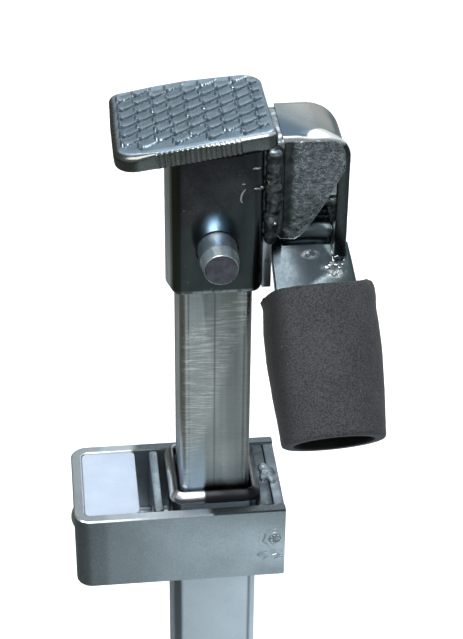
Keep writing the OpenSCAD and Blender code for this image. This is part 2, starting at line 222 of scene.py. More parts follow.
def lathe(name, profile, steps, place=None, closed=False):
    """Turns (radius, height) points about Z. A radius of zero at an end closes it."""
    rings = []
    for radius, height in profile:
        r = max(radius, 0.001)
        rings.append([(r * math.cos(2 * math.pi * k / steps), r * math.sin(2 * math.pi * k / steps), height)
                      for k in range(steps)])
    obj = loft(name, rings, cap_start=not closed, cap_end=not closed, loop=closed)
    edit(obj, lambda bm: bmesh.ops.remove_doubles(bm, verts=bm.verts, dist=0.004 * MM))
    if place is not None:
        obj.data.transform(place)
    return obj


def placed(origin, axis):
    """Matrix in metres that takes Z to axis and the origin to a point in millimetres."""
    turn = Vector((0, 0, 1)).rotation_difference(Vector(axis)).to_matrix().to_4x4()
    return Matrix.Translation(Vector(origin) * MM) @ turn


def round_square(half, radius, z, corner_steps=7, side_steps=6):
    """Points round a square with round corners, anticlockwise from the right side's middle."""
    points = []
    flat = half - radius
    for quarter in range(4):
        turn = quarter * math.pi / 2
        c, s = math.cos(turn), math.sin(turn)
        line = [(half, -flat + 2 * flat * k / side_steps) for k in range(side_steps)]
        arc = [(flat + radius * math.cos(a), flat + radius * math.sin(a))
               for a in (math.pi / 2 * k / corner_steps for k in range(corner_steps))]
        points += [(x * c - y * s, x * s + y * c, z) for x, y in line + arc]
    return points


def square_sweep(name, half, radius, profile, loop=True, corner_steps=7, side_steps=6):
    """Sweeps (inset, z) points round a square with round corners."""
    rings = [round_square(half - inset, max(radius - inset, 0.35), z, corner_steps, side_steps)
             for inset, z in profile]
    return loft(name, rings, loop=loop, cap_start=not loop, cap_end=not loop)


def prism(name, outline, axis, low, high):
    """Extrudes a closed outline along an axis; the outline's two numbers are the other two axes in order."""
    def point(p, t):
        if axis == "X":
            return (t, p[0], p[1])
        if axis == "Y":
            return (p[0], t, p[1])
        return (p[0], p[1], t)
    obj = loft(name, [[point(p, low) for p in outline], [point(p, high) for p in outline]], True, True)
    fix_normals(obj)
    return obj


def relief(name, low, high, step, point, back):
    """A closed slab whose front follows point(a, b); back is the shift to its flat rear."""
    columns = round((high[0] - low[0]) / step)
    rows = round((high[1] - low[1]) / step)
    verts = [point(low[0] + (high[0] - low[0]) * i / columns, low[1] + (high[1] - low[1]) * j / rows)
             for j in range(rows + 1) for i in range(columns + 1)]
    wide = columns + 1
    faces = [[j * wide + i, j * wide + i + 1, (j + 1) * wide + i + 1, (j + 1) * wide + i]
             for j in range(rows) for i in range(columns)]
    border = list(range(columns)) + [j * wide + columns for j in range(rows)]
    border += [rows * wide + i for i in range(columns, 0, -1)] + [j * wide for j in range(rows, 0, -1)]
    base = len(verts)
    verts += [tuple(c + d for c, d in zip(verts[k], back)) for k in border]
    count = len(border)
    faces += [[border[k], border[(k + 1) % count], base + (k + 1) % count, base + k] for k in range(count)]
    faces.append([base + k for k in range(count)])
    return make_object(name, verts, faces)


def arc(cx, cy, r, start, end, steps):
    """Points on a circle from one angle to another, in degrees."""
    return [(cx + r * math.cos(math.radians(start + (end - start) * k / steps)),
             cy + r * math.sin(math.radians(start + (end - start) * k / steps))) for k in range(steps + 1)]


def bumpy(p, size, seed=0.0):
    """Smooth noise from about -1 to 1 with features of that size in millimetres."""
    return noise.noise(Vector((p[0] / size + seed, p[1] / size + 1.7 * seed, p[2] / size - seed)))


def fractal(p, size, seed=0.0, octaves=4):
    q = Vector((p[0] / size + seed, p[1] / size + seed, p[2] / size + seed))
    return noise.fractal(q, 0.9, 2.1, octaves)


def smoothstep(a, b, x):
    t = min(max((x - a) / (b - a), 0.0), 1.0)
    return t * t * (3 - 2 * t)


def blob(name, centre, radii, steps=16):
    """An ellipsoid for building weld beads and burrs."""
    rings = []
    for i in range(1, steps):
        a = math.pi * i / steps
        rings.append([(radii[0] * math.sin(a) * math.cos(2 * math.pi * k / (2 * steps)),
                       radii[1] * math.sin(a) * math.sin(2 * math.pi * k / (2 * steps)),
                       radii[2] * math.cos(a)) for k in range(2 * steps)])
    rings = [[(p[0] + centre[0], p[1] + centre[1], p[2] + centre[2]) for p in ring] for ring in rings]
    return loft(name, rings, True, True)


def finish_piece(obj, body, material, nodes=(), sharp=36):
    """Normals, shading, material, and what the piece rides on and stands for."""
    fix_normals(obj)
    obj.data.materials.clear()
    obj.data.materials.append(material)
    obj.data.shade_smooth()
    obj.data.set_sharp_from_angle(angle=math.radians(sharp))
    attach(obj, body)
    if nodes:
        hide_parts(*nodes)
    return obj


# ---- Materials ----

class Nodes:
    """Short calls for building a material's nodes."""

    def __init__(self, name):
        self.material = bpy.data.materials.new(name)
        self.material.use_nodes = True
        self.tree = self.material.node_tree
        self.shader = self.tree.nodes["Principled BSDF"]
        self.coords = self.tree.nodes.new("ShaderNodeTexCoord").outputs["Object"]

    def add(self, kind, **values):
        node = self.tree.nodes.new(kind)
        for key, value in values.items():
            setattr(node, key, value)
        return node

    def link(self, source, target):
        self.tree.links.new(source, target)

    def stretched(self, scale):
        """The object's coordinates in metres, scaled by three numbers."""
        node = self.add("ShaderNodeMapping")
        node.inputs["Scale"].default_value = scale
        self.link(self.coords, node.inputs["Vector"])
        return node.outputs["Vector"]

    def noise(self, scale, detail=4.0, rough=0.55, vector=None, distortion=0.0):
        node = self.add("ShaderNodeTexNoise")
        node.inputs["Scale"].default_value = scale
        node.inputs["Detail"].default_value = detail
        node.inputs["Roughness"].default_value = rough
        node.inputs["Distortion"].default_value = distortion
        self.link(vector if vector is not None else self.coords, node.inputs["Vector"])
        return node.outputs["Fac"]

    def voronoi(self, scale):
        node = self.add("ShaderNodeTexVoronoi", feature="F1")
        node.inputs["Scale"].default_value = scale
        self.link(self.coords, node.inputs["Vector"])
        return node.outputs["Distance"]

    def span(self, value, low, high, to_low=0.0, to_high=1.0, smooth=True):
        """Maps a value's range to another, clamped."""
        node = self.add("ShaderNodeMapRange")
        if smooth:
            node.interpolation_type = "SMOOTHSTEP"
        node.inputs["From Min"].default_value = low
        node.inputs["From Max"].default_value = high
        node.inputs["To Min"].default_value = to_low
        node.inputs["To Max"].default_value = to_high
        self.link(value, node.inputs["Value"])
        return node.outputs["Result"]

    def ramp(self, value, stops):
        """Colours along a value: (position, (r, g, b)) from low to high."""
        node = self.add("ShaderNodeValToRGB")
        node.color_ramp.interpolation = "EASE"
        elements = node.color_ramp.elements
        elements[0].position, elements[0].color = stops[0][0], (*stops[0][1], 1)
        elements[1].position, elements[1].color = stops[-1][0], (*stops[-1][1], 1)
        for position, colour in stops[1:-1]:
            elements.new(position).color = (*colour, 1)
        self.link(value, node.inputs["Fac"])
        return node.outputs["Color"]

    def math(self, operation, a, b=None):
        node = self.add("ShaderNodeMath", operation=operation)
        for socket, value in zip(node.inputs, (a, b)):
            if value is None:
                continue
            if isinstance(value, (int, float)):
                socket.default_value = value
            else:
                self.link(value, socket)
        return node.outputs["Value"]

    def times(self, a, b):
        return self.math("MULTIPLY", a, b)

    def tint(self, colour, mask, amount, wanted):
        """Takes a colour towards another by an amount where the mask is one."""
        return self.mix(self.times(mask, amount), colour, wanted)

    def mix(self, factor, a, b, blend="MIX"):
        """Mixes two colours, each a socket or (r, g, b)."""
        node = self.add("ShaderNodeMix", data_type="RGBA", blend_type=blend)
        for socket, value in ((node.inputs[0], factor), (node.inputs[6], a), (node.inputs[7], b)):
            if isinstance(value, (int, float)):
                socket.default_value = value
            elif isinstance(value, tuple):
                socket.default_value = (*value, 1)
            else:
                self.link(value, socket)
        return node.outputs[2]

    def axis(self, letter):
        """One of the object's coordinates, in metres."""
        node = self.add("ShaderNodeSeparateXYZ")
        self.link(self.coords, node.inputs["Vector"])
        return node.outputs[letter]

    def facing(self, letter):
        """How far the surface faces along one of the model's axes, from minus one to one."""
        node = self.add("ShaderNodeSeparateXYZ")
        self.link(self.add("ShaderNodeNewGeometry").outputs["Normal"], node.inputs["Vector"])
        return node.outputs[letter]

    def near(self, point, radius, inner=0.0, scale=(1, 1, 1)):
        """One near a point in millimetres, falling to zero at a radius in millimetres."""
        move = self.add("ShaderNodeVectorMath", operation="SUBTRACT")
        self.link(self.coords, move.inputs[0])
        move.inputs[1].default_value = [c * MM for c in point]
        grow = self.add("ShaderNodeVectorMath", operation="MULTIPLY")
        self.link(move.outputs["Vector"], grow.inputs[0])
        grow.inputs[1].default_value = scale
        size = self.add("ShaderNodeVectorMath", operation="LENGTH")
        self.link(grow.outputs["Vector"], size.inputs[0])
        return self.span(size.outputs["Value"], inner * MM, radius * MM, 1.0, 0.0)

    def bump(self, height, strength, distance):
        """Adds a bump in millimetres on top of any earlier one."""
        node = self.add("ShaderNodeBump")
        node.inputs["Strength"].default_value = strength
        node.inputs["Distance"].default_value = distance * MM
        self.link(height, node.inputs["Height"])
        normal = self.shader.inputs["Normal"]
        if normal.is_linked:
            self.link(normal.links[0].from_socket, node.inputs["Normal"])
        self.link(node.outputs["Normal"], normal)

    def colour(self, value):
        self.link(value, self.shader.inputs["Base Color"])

    def roughness(self, value):
        self.link(value, self.shader.inputs["Roughness"])

    def metallic(self):
        self.shader.inputs["Metallic"].default_value = 1.0


def zinc(name, dark, light, rough=(0.28, 0.42), mottle=90, grain=1400, bump=0.06, streak=None, extra=None):
    """Zinc-plated steel: two tones in soft patches, fine grain, and streaks along one direction."""
    n = Nodes(name)
    n.metallic()
    patches = n.noise(mottle, 5.0, 0.6)
    fine = n.noise(grain, 3.0, 0.6)
    tone = n.math("ADD", n.times(patches, 0.7), n.times(fine, 0.3))
    colour = n.ramp(tone, [(0.32, dark), (0.68, light)])
    n.roughness(n.span(tone, 0.3, 0.7, rough[1], rough[0]))
    n.bump(fine, bump, 0.06)
    if streak is not None:
        lines = n.noise(1.0, 3.0, 0.7, n.stretched(streak))
        colour = n.mix(n.span(lines, 0.35, 0.7, 0.0, 0.28), colour, tuple(min(1.0, c * 1.5) for c in light))
        n.bump(lines, bump * 1.6, 0.05)
    if extra is not None:
        colour = extra(n, colour)
    n.colour(colour)
    return n.material


def tube_brushed_extra(n, colour):
    """The inner tube: painted reflection on the warm left rounded side and painted shade on the right one, a
    thin seam, a slanting field of cross scratches, and painted shade and a painted pale blue reflection low
    down.
    """
    x = n.axis("X")
    z = n.axis("Z")
    front = n.span(n.axis("Y"), -0.0118, -0.0124)
    # Painted reflection on the left rounded side, painted shade on the right one.
    colour = n.mix(n.span(x, -0.0094, -0.0100), colour, (0.50, 0.47, 0.43))
    colour = n.mix(n.span(x, 0.0098, 0.0104), colour, (0.30, 0.285, 0.26))
    for place, width in ((-0.0097, 0.0006), (0.0101, 0.0008)):
        line = n.times(n.span(x, place - width, place), n.span(x, place, place + width, 1.0, 0.0))
        colour = n.tint(colour, line, 0.75, (0.07, 0.07, 0.065))
    seam = n.times(front, n.near((-0.4, -12.7, 250), 0.5, 0.1, (1, 0, 0)))
    upper = n.span(n.math("SUBTRACT", z, n.times(x, 0.83)), 0.272, 0.277, 1.0, 0.0)
    lower = n.span(n.math("SUBTRACT", z, n.times(x, 3.3)), 0.228, 0.240)
    field = n.times(n.times(upper, lower), front)
    scratch = n.noise(1.0, 4.0, 0.7, n.stretched((140, 140, 3000)))
    soft = n.noise(1.0, 2.0, 0.5, n.stretched((60, 60, 700)))
    marks = n.times(n.span(scratch, 0.45, 0.62), n.span(soft, 0.35, 0.6, 0.35, 1.0))
    colour = n.tint(colour, field, 0.6, (0.38, 0.375, 0.345))
    colour = n.mix(n.times(n.times(field, marks), 0.75), colour, (0.90, 0.90, 0.86))
    faint = n.times(n.times(marks, front), 0.16)
    colour = n.mix(faint, colour, (0.8, 0.82, 0.8))
    colour = n.tint(colour, seam, 0.6, (0.13, 0.14, 0.135))
    above = n.times(n.times(n.math("SUBTRACT", 1.0, upper), front), 0.35)
    colour = n.mix(above, colour, (0.22, 0.26, 0.27))
    # Painted shade on the right part of the front, right of the scratched field.
    right_low = n.times(n.math("SUBTRACT", 1.0, lower), n.times(upper, front))
    colour = n.tint(colour, right_low, 0.35, (0.27, 0.29, 0.27))
    # Painted shade at the bottom right above the collar: bluish dark, then near black at the very bottom.
    deep = n.times(n.span(z, 0.197, 0.212, 1.0, 0.0), n.span(x, -0.0040, -0.0030))
    colour = n.tint(colour, deep, 0.5, (0.12, 0.16, 0.20))
    n.bump(scratch, 0.10, 0.05)
    foot = n.times(n.span(z, 0.1955, 0.2005, 1.0, 0.0), n.span(x, -0.0046, -0.0036))
    colour = n.tint(colour, foot, 0.85, (0.035, 0.03, 0.032))
    # Painted pale blue reflection at the bottom left.
    glow = n.times(n.span(z, 0.197, 0.226, 1.0, 0.0), n.span(x, -0.0046, -0.0030, 1.0, 0.0))
    return n.tint(colour, glow, 0.55, (0.50, 0.66, 0.80))


def tube_zinc_extra(n, colour):
    """The outer tube: painted shade on the rounded left side, a thin dark line at the right."""
    x = n.axis("X")
    # Painted shade on the rounded left side.
    left = n.span(x, -0.0128, -0.0136)
    colour = n.tint(colour, left, 0.8, (0.15, 0.18, 0.20))
    line = n.times(n.span(x, 0.0122, 0.0130), n.span(x, 0.0132, 0.0142, 1.0, 0.0))
    colour = n.tint(colour, line, 0.7, (0.10, 0.12, 0.14))
    dots = n.span(n.voronoi(170), 0.05, 0.10, 1.0, 0.0)
    rare = n.span(n.noise(60, 2.0, 0.5), 0.60, 0.66)
    return n.mix(n.times(n.times(dots, rare), 0.5), colour, (0.12, 0.14, 0.16))


def loop_extra(n, colour):
    """The strap loop: painted shading, darker towards its closed end and paler towards the welds, a painted
    shadow over the right of its top faces, and fine speckle.
    """
    # Painted shading along the loop's length.
    side = n.ramp(n.span(n.axis("X"), -0.0532, 0.0259, smooth=False),
                  [(0.0, (0.50, 0.50, 0.50)), (0.13, (0.58, 0.58, 0.57)), (0.17, (0.80, 0.80, 0.80)),
                   (0.6, (1.0, 1.0, 1.0)), (1.0, (1.3, 1.3, 1.3))])
    colour = n.mix(1.0, colour, side, "MULTIPLY")
    x = n.axis("X")
    y = n.axis("Y")
    # Painted cast shadow on the right part of the top faces, reaching further left on the far side.
    near = n.times(n.span(y, 0.0, 0.002, 1.0, 0.0), n.span(x, -0.0040, -0.0010, 0.0, 0.92))
    far = n.times(n.span(y, 0.0, 0.002), n.span(x, -0.0305, -0.0265, 0.0, 0.88))
    upper = n.times(n.span(n.facing("Z"), 0.8, 0.9), n.math("MAXIMUM", near, far))
    colour = n.mix(upper, colour, (0.045, 0.060, 0.065))
    speckle = n.noise(2600, 2.0, 0.7)
    colour = n.mix(n.span(speckle, 0.55, 0.72, 0.0, 0.30), colour, (0.85, 0.92, 0.95))
    return n.mix(n.span(speckle, 0.45, 0.30, 0.0, 0.30), colour, (0.08, 0.10, 0.11))


def sleeve_extra(n, colour):
    """The head sleeve: dark gloss with painted reflections (paler low down, olive at the left, paler at the
    right, a pale corner), dust specks, a broken pale hem line and a painted blue reflection of the pin over
    it.
    """
    x = n.axis("X")
    z = n.axis("Z")
    # Painted reflections: a paler lower part, an olive left side, a paler right side and a pale left corner.
    slope = n.math("SUBTRACT", z, n.times(x, 0.55))
    lower = n.span(slope, 0.3140, 0.3185, 1.0, 0.0)
    colour = n.tint(colour, lower, 0.8, (0.058, 0.068, 0.066))
    olive = n.span(x, -0.0142, -0.0118, 1.0, 0.0)
    colour = n.tint(colour, olive, 0.7, (0.10, 0.11, 0.075))
    right = n.span(x, 0.0118, 0.0142, 0.0, 0.55)
    colour = n.mix(right, colour, (0.13, 0.14, 0.14))
    corner = n.span(x, -0.0156, -0.0150, 1.0, 0.0)
    colour = n.tint(colour, corner, 0.9, (0.34, 0.36, 0.31))
    dots = n.voronoi(560)
    sparse = n.noise(95, 3.0, 0.6)
    specks = n.times(n.span(dots, 0.05, 0.16, 1.0, 0.0), n.span(sparse, 0.58, 0.66))
    colour = n.tint(colour, specks, 0.6, (0.42, 0.44, 0.45))
    # Painted blue reflection of the pin, on the sleeve above it.
    glow = n.near((-0.6, -15.9, 311.0), 6.0, 0.5, (1.0, 1.0, 0.8))
    colour = n.tint(colour, glow, 0.75, (0.30, 0.46, 0.60))
    hem = n.times(n.span(z, 0.2852, 0.2862, 1.0, 0.0), n.span(n.axis("Y"), -0.0135, -0.0150))
    broken = n.span(n.noise(500, 2.0, 0.5), 0.4, 0.55, 0.2, 0.7)
    return n.mix(n.times(hem, broken), colour, (0.45, 0.48, 0.47))


def hood_extra(n, colour):
    """The bracket strap: painted reflection and shade on its top, blue at the near left and warm grey towards
    the far right, a dark near face, and painted highlights along the near top edge.
    """
    x = n.axis("X")
    y = n.axis("Y")
    # Painted reflection and shade across the top.
    slope = n.math("ADD", n.times(x, 26), n.times(y, 22))
    top = n.span(n.axis("Z"), 0.3395, 0.3415)
    tone = n.ramp(n.span(slope, 0.45, 1.15),
                  [(0.0, (0.10, 0.15, 0.19)), (0.40, (0.28, 0.31, 0.31)), (1.0, (0.42, 0.41, 0.38))])
    colour = n.mix(top, colour, tone)
    front = n.span(y, -0.0118, -0.0124)
    below = n.span(n.axis("Z"), 0.3385, 0.3405, 1.0, 0.0)
    colour = n.mix(n.times(front, below), colour, (0.075, 0.083, 0.081))
    # Painted highlights at the near top edge: a lens-shaped patch and a thin line.
    patch = n.near((36.4, -12.6, 342.0), 6.6, 5.4, (0.95, 1.0, 0.3))
    line = n.times(n.span(n.axis("Y"), -0.0112, -0.0119), n.span(n.axis("X"), 0.0425, 0.0435, 1.0, 0.0))
    bright = n.times(n.math("MAXIMUM", patch, line), n.span(n.axis("Z"), 0.3385, 0.3400))
    return n.tint(colour, bright, 0.9, (0.97, 0.97, 0.95))


def collar_extra(n, colour):
    """The collar: painted highlights on the left arms and the near rim's upper left, a painted shadow at the
    near right, and a purple-grey lower band on the near rim.
    """
    x = n.axis("X")
    near = n.span(n.axis("Y"), -0.0120, -0.0140)
    right = n.times(near, n.span(x, -0.0050, -0.0036))
    rim = n.times(near, n.span(n.axis("Z"), 0.1932, 0.1926, 0.0, 0.8))
    colour = n.mix(rim, colour, (0.13, 0.115, 0.14))
    # Painted shadow at the near right.
    colour = n.tint(colour, right, 0.95, (0.022, 0.022, 0.025))
    # Painted highlight on the near rim's upper left.
    shine = n.times(near, n.span(x, -0.0050, -0.0036, 1.0, 0.0))
    shine = n.times(shine, n.span(n.axis("Z"), 0.1928, 0.1934, 0.0, 0.8))
    colour = n.mix(shine, colour, (0.86, 0.85, 0.86))
    # Painted highlight on the left arms.
    left = n.span(x, -0.0150, -0.0160)
    return n.tint(colour, left, 0.9, (0.90, 0.93, 0.90))


def edge_highlight_extra(n, colour):
    """The loop's top edge chamfers: a painted highlight up to the middle, a painted shadow beyond."""
    x = n.axis("X")
    y = n.axis("Y")
    # Painted shadow on the chamfers right of the middle.
    near = n.times(n.span(y, 0.0, 0.002, 1.0, 0.0), n.span(x, -0.0022, -0.0008))
    far = n.times(n.span(y, 0.0, 0.002), n.span(x, -0.0305, -0.0285))
    return n.mix(n.times(n.math("MAXIMUM", near, far), 0.92), colour, (0.05, 0.065, 0.07))


def web_extra(n, colour):
    """The side plate: a painted highlight on the near edge below the weld."""
    low = n.times(n.span(n.axis("Z"), 0.3035, 0.3015), n.span(n.axis("Y"), -0.0118, -0.0124))
    return n.tint(colour, low, 0.9, (0.86, 0.93, 0.95))


def pin_extra(n, colour):
    """The turned pin: painted shading on the bluish body, a painted highlight on the crown, and painted pale
    reflections on the taper.
    """
    x = n.math("ABSOLUTE", n.math("ADD", n.axis("X"), 0.0008))
    # Painted shading across the body: pale blue along the middle, dark towards the sides.
    body = n.ramp(n.span(x, 0.0, 0.0068, smooth=False),
                  [(0.0, (0.52, 0.67, 0.80)), (0.45, (0.27, 0.38, 0.46)), (0.8, (0.13, 0.19, 0.23)),
                   (1.0, (0.32, 0.38, 0.38))])
    colour = n.mix(0.85, colour, body)
    # Painted pale reflections on the taper.
    taper = n.span(n.axis("Y"), -0.0239, -0.0246)
    pale = n.ramp(n.span(x, 0.0, 0.0062, smooth=False),
                  [(0.0, (0.86, 0.97, 1.0)), (0.35, (0.62, 0.74, 0.80)), (0.8, (0.34, 0.42, 0.46)),
                   (1.0, (0.66, 0.74, 0.72))])
    colour = n.tint(colour, taper, 0.85, pale)
    # Painted highlight on the crown.
    crown = n.near((-0.9, -18.0, 309.2), 3.6, 0.6, (1.0, 0.8, 1.0))
    return n.mix(crown, colour, (0.98, 0.99, 1.0))


def arm_extra(n, colour):
    """The peg's arm: painted shade under the bracket and at the left, a dark band on the shoulder, and
    painted highlights in broken patches.
    """
    shade = n.span(n.axis("Z"), 0.3035, 0.2985, 1.0, 0.0)
    colour = n.tint(colour, shade, 0.35, (0.16, 0.20, 0.19))
    # Painted shade at the left.
    left = n.span(n.axis("X"), 0.0290, 0.0400, 1.0, 0.0)
    colour = n.tint(colour, left, 0.7, (0.045, 0.058, 0.066))
    shoulder = n.times(n.span(n.facing("Z"), 0.30, 0.5), n.span(n.axis("X"), 0.0385, 0.0400, 0.0, 0.95))
    colour = n.mix(shoulder, colour, (0.10, 0.13, 0.13))
    broken = n.noise(420, 4.0, 0.65)
    broken = n.span(broken, 0.42, 0.58)
    # Painted highlights in broken patches.
    painted_highlights = (((33.0, -10.6, 295.3), 3.0), ((38.5, -13.6, 291.6), 2.4), ((41.5, -14.5, 290.0), 3.6))
    for point, size in painted_highlights:
        painted_highlight = n.near(point, size, 0.4, (0.75, 1, 1.7))
        colour = n.mix(n.times(painted_highlight, broken), colour, (0.98, 0.99, 1.0))
    return colour


def tread_extra(n, colour):
    """The tread plate: painted shade on the side walls, claw valleys and steep near faces, painted highlights
    on crests, left faces and ribs, pale tooth tips that are worn metal and painted highlight, and a painted
    glint on the near edge.
    """
    rise = n.math("SUBTRACT", n.axis("Z"), n.times(n.axis("X"), math.tan(TREAD_TILT)))
    side = n.span(rise, 0.34300, 0.34345, 1.0, 0.0)
    near = n.math("ADD", n.axis("Y"), n.times(n.axis("X"), -0.055))
    toothed = n.times(n.span(near, -0.0140, -0.0125), n.span(n.axis("Y"), 0.0262, 0.0275, 1.0, 0.0))
    toothed = n.times(toothed, n.span(n.axis("X"), -0.0325, -0.0312))
    toothed = n.times(toothed, n.span(n.noise(200, 2.0, 0.5), 0.3, 0.6, 0.75, 1.0))
    # Painted shade in the claws' valleys, painted highlight on their crests.
    valley = n.times(toothed, n.span(rise, 0.34352, 0.34385, 0.70, 0.0))
    colour = n.mix(valley, colour, (0.11, 0.16, 0.20))
    crest = n.times(toothed, n.span(rise, 0.34385, 0.34412, 0.0, 0.60))
    colour = n.mix(crest, colour, (0.62, 0.74, 0.82))
    # Painted shade on steep faces turned to the near side, painted highlight on high faces turned left.
    before = n.span(n.facing("Y"), -0.22, -0.60, 0.0, 0.60)
    colour = n.mix(before, colour, (0.10, 0.14, 0.165))
    left = n.times(n.span(n.facing("X"), -0.30, -0.50, 0.0, 0.9), n.span(rise, 0.34375, 0.34405))
    colour = n.mix(left, colour, (0.80, 0.90, 0.96))
    # Side walls: painted shade, with painted highlights on the ribs' left flanks.
    ribbed = n.times(n.span(n.facing("X"), -0.15, -0.5), n.span(n.axis("X"), -0.0215, -0.0205))
    colour = n.mix(side, colour, n.mix(ribbed, (0.17, 0.18, 0.165), (0.70, 0.74, 0.71)))
    # Pale tooth tips: worn metal and painted highlight.
    tips = n.span(rise, 0.34445, 0.34480)
    colour = n.tint(colour, tips, 0.7, (0.80, 0.88, 0.95))
    # Painted glint along the near top edge.
    slope = n.times(n.span(n.facing("Y"), -0.25, -0.5), n.span(n.facing("Z"), 0.2, 0.5))
    slope = n.times(slope, n.span(near, -0.0136, -0.0145))
    return n.mix(n.times(slope, n.span(n.axis("X"), -0.019, 0.004)), colour, (0.97, 0.98, 0.98))


def cheek_material():
    """Flame-cut skin: grey, coarse and glittering, with the torch's level drag lines."""
    n = Nodes("cheek_cast")
    n.metallic()
    skin = n.span(n.math("ADD", n.axis("X"), n.times(n.noise(300, 3.0, 0.6), 0.0030)), 0.0262, 0.0284)
    lower = n.span(n.axis("Z"), 0.3085, 0.3065)
    skin = n.math("MAXIMUM", skin, lower)
    coarse = n.noise(1.0, 6.0, 0.72, n.stretched((650, 650, 1100)), 0.5)
    fine = n.noise(2600, 3.0, 0.65)
    tone = n.math("ADD", n.times(coarse, 0.55), n.times(fine, 0.45))
    glitter = n.ramp(tone, [(0.38, (0.06, 0.066, 0.068)), (0.50, (0.24, 0.265, 0.275)),
                            (0.62, (0.80, 0.84, 0.86))])
    smooth = n.ramp(n.noise(240, 4.0, 0.6), [(0.35, (0.035, 0.040, 0.038)), (0.65, (0.085, 0.090, 0.085))])
    n.colour(n.mix(skin, smooth, glitter))
    n.roughness(n.span(tone, 0.35, 0.7, 0.50, 0.26))
    n.bump(n.times(coarse, skin), 0.7, 0.35)
    n.bump(n.times(fine, skin), 0.5, 0.15)
    return n.material


def weld_material(name, dark, light):
    """Weld metal: dark glossy ripples with paler crests."""
    n = Nodes(name)
    n.metallic()
    patches = n.noise(260, 4.0, 0.6, distortion=0.4)
    n.colour(n.ramp(patches, [(0.34, dark), (0.70, light)]))
    n.roughness(n.span(patches, 0.3, 0.7, 0.42, 0.22))
    n.bump(n.noise(1500, 3.0, 0.6), 0.15, 0.1)
    return n.material


def rubber_material():
    """Moulded black rubber: matte, dusty, with fine pores, a few pale specks, and painted shade along its
    left side.
    """
    n = Nodes("rubber")
    patches = n.noise(70, 5.0, 0.6)
    pores = n.noise(1700, 3.0, 0.65)
    tone = n.math("ADD", n.times(patches, 0.2), n.times(pores, 0.8))
    colour = n.ramp(tone, [(0.38, (0.030, 0.031, 0.033)), (0.62, (0.080, 0.079, 0.084))])
    # Painted shade along the rubber's left side.
    left = n.span(n.axis("X"), 0.0165, 0.0230, 1.0, 0.0)
    colour = n.tint(colour, left, 0.88, (0.012, 0.011, 0.011))
    dots = n.voronoi(300)
    sparse = n.noise(90, 2.0, 0.5)
    specks = n.times(n.span(dots, 0.08, 0.14, 1.0, 0.0), n.span(sparse, 0.55, 0.62))
    n.colour(n.mix(n.times(specks, 0.45), colour, (0.22, 0.21, 0.23)))
    n.roughness(n.span(pores, 0.3, 0.7, 0.88, 0.72))
    n.shader.inputs["Specular IOR Level"].default_value = 0.32
    n.shader.inputs["Sheen Weight"].default_value = 0.12
    n.shader.inputs["Sheen Roughness"].default_value = 0.5
    n.bump(pores, 0.6, 0.12)
    n.bump(patches, 0.2, 0.3)
    return n.material


def plastic_material(name, dark, light, rough=0.35, subsurface=0.0):
    n = Nodes(name)
    patches = n.noise(120, 4.0, 0.55)
    n.colour(n.ramp(patches, [(0.3, dark), (0.7, light)]))
    n.roughness(n.span(n.noise(900, 3.0, 0.6), 0.3, 0.7, rough + 0.1, rough - 0.06))
    n.bump(n.noise(700, 3.0, 0.6), 0.08, 0.06)
    if subsurface:
        n.shader.inputs["Subsurface Weight"].default_value = subsurface
        n.shader.inputs["Subsurface Radius"].default_value = (0.006, 0.007, 0.008)
        n.shader.inputs["Subsurface Scale"].default_value = 1.0
    return n.material


def pin_end_material():
    """The pin's turned end face: darker, with faint mottling."""
    n = Nodes("pin_end")
    n.metallic()
    # Painted shade: the end face is kept darker than the pin's body.
    n.colour(n.ramp(n.noise(300, 4.0, 0.6), [(0.3, (0.12, 0.11, 0.13)), (0.7, (0.19, 0.18, 0.20))]))
    n.roughness(n.span(n.noise(900, 3.0, 0.6), 0.3, 0.7, 0.5, 0.4))
    n.bump(n.noise(1400, 3.0, 0.6), 0.08, 0.06)
    return n.material


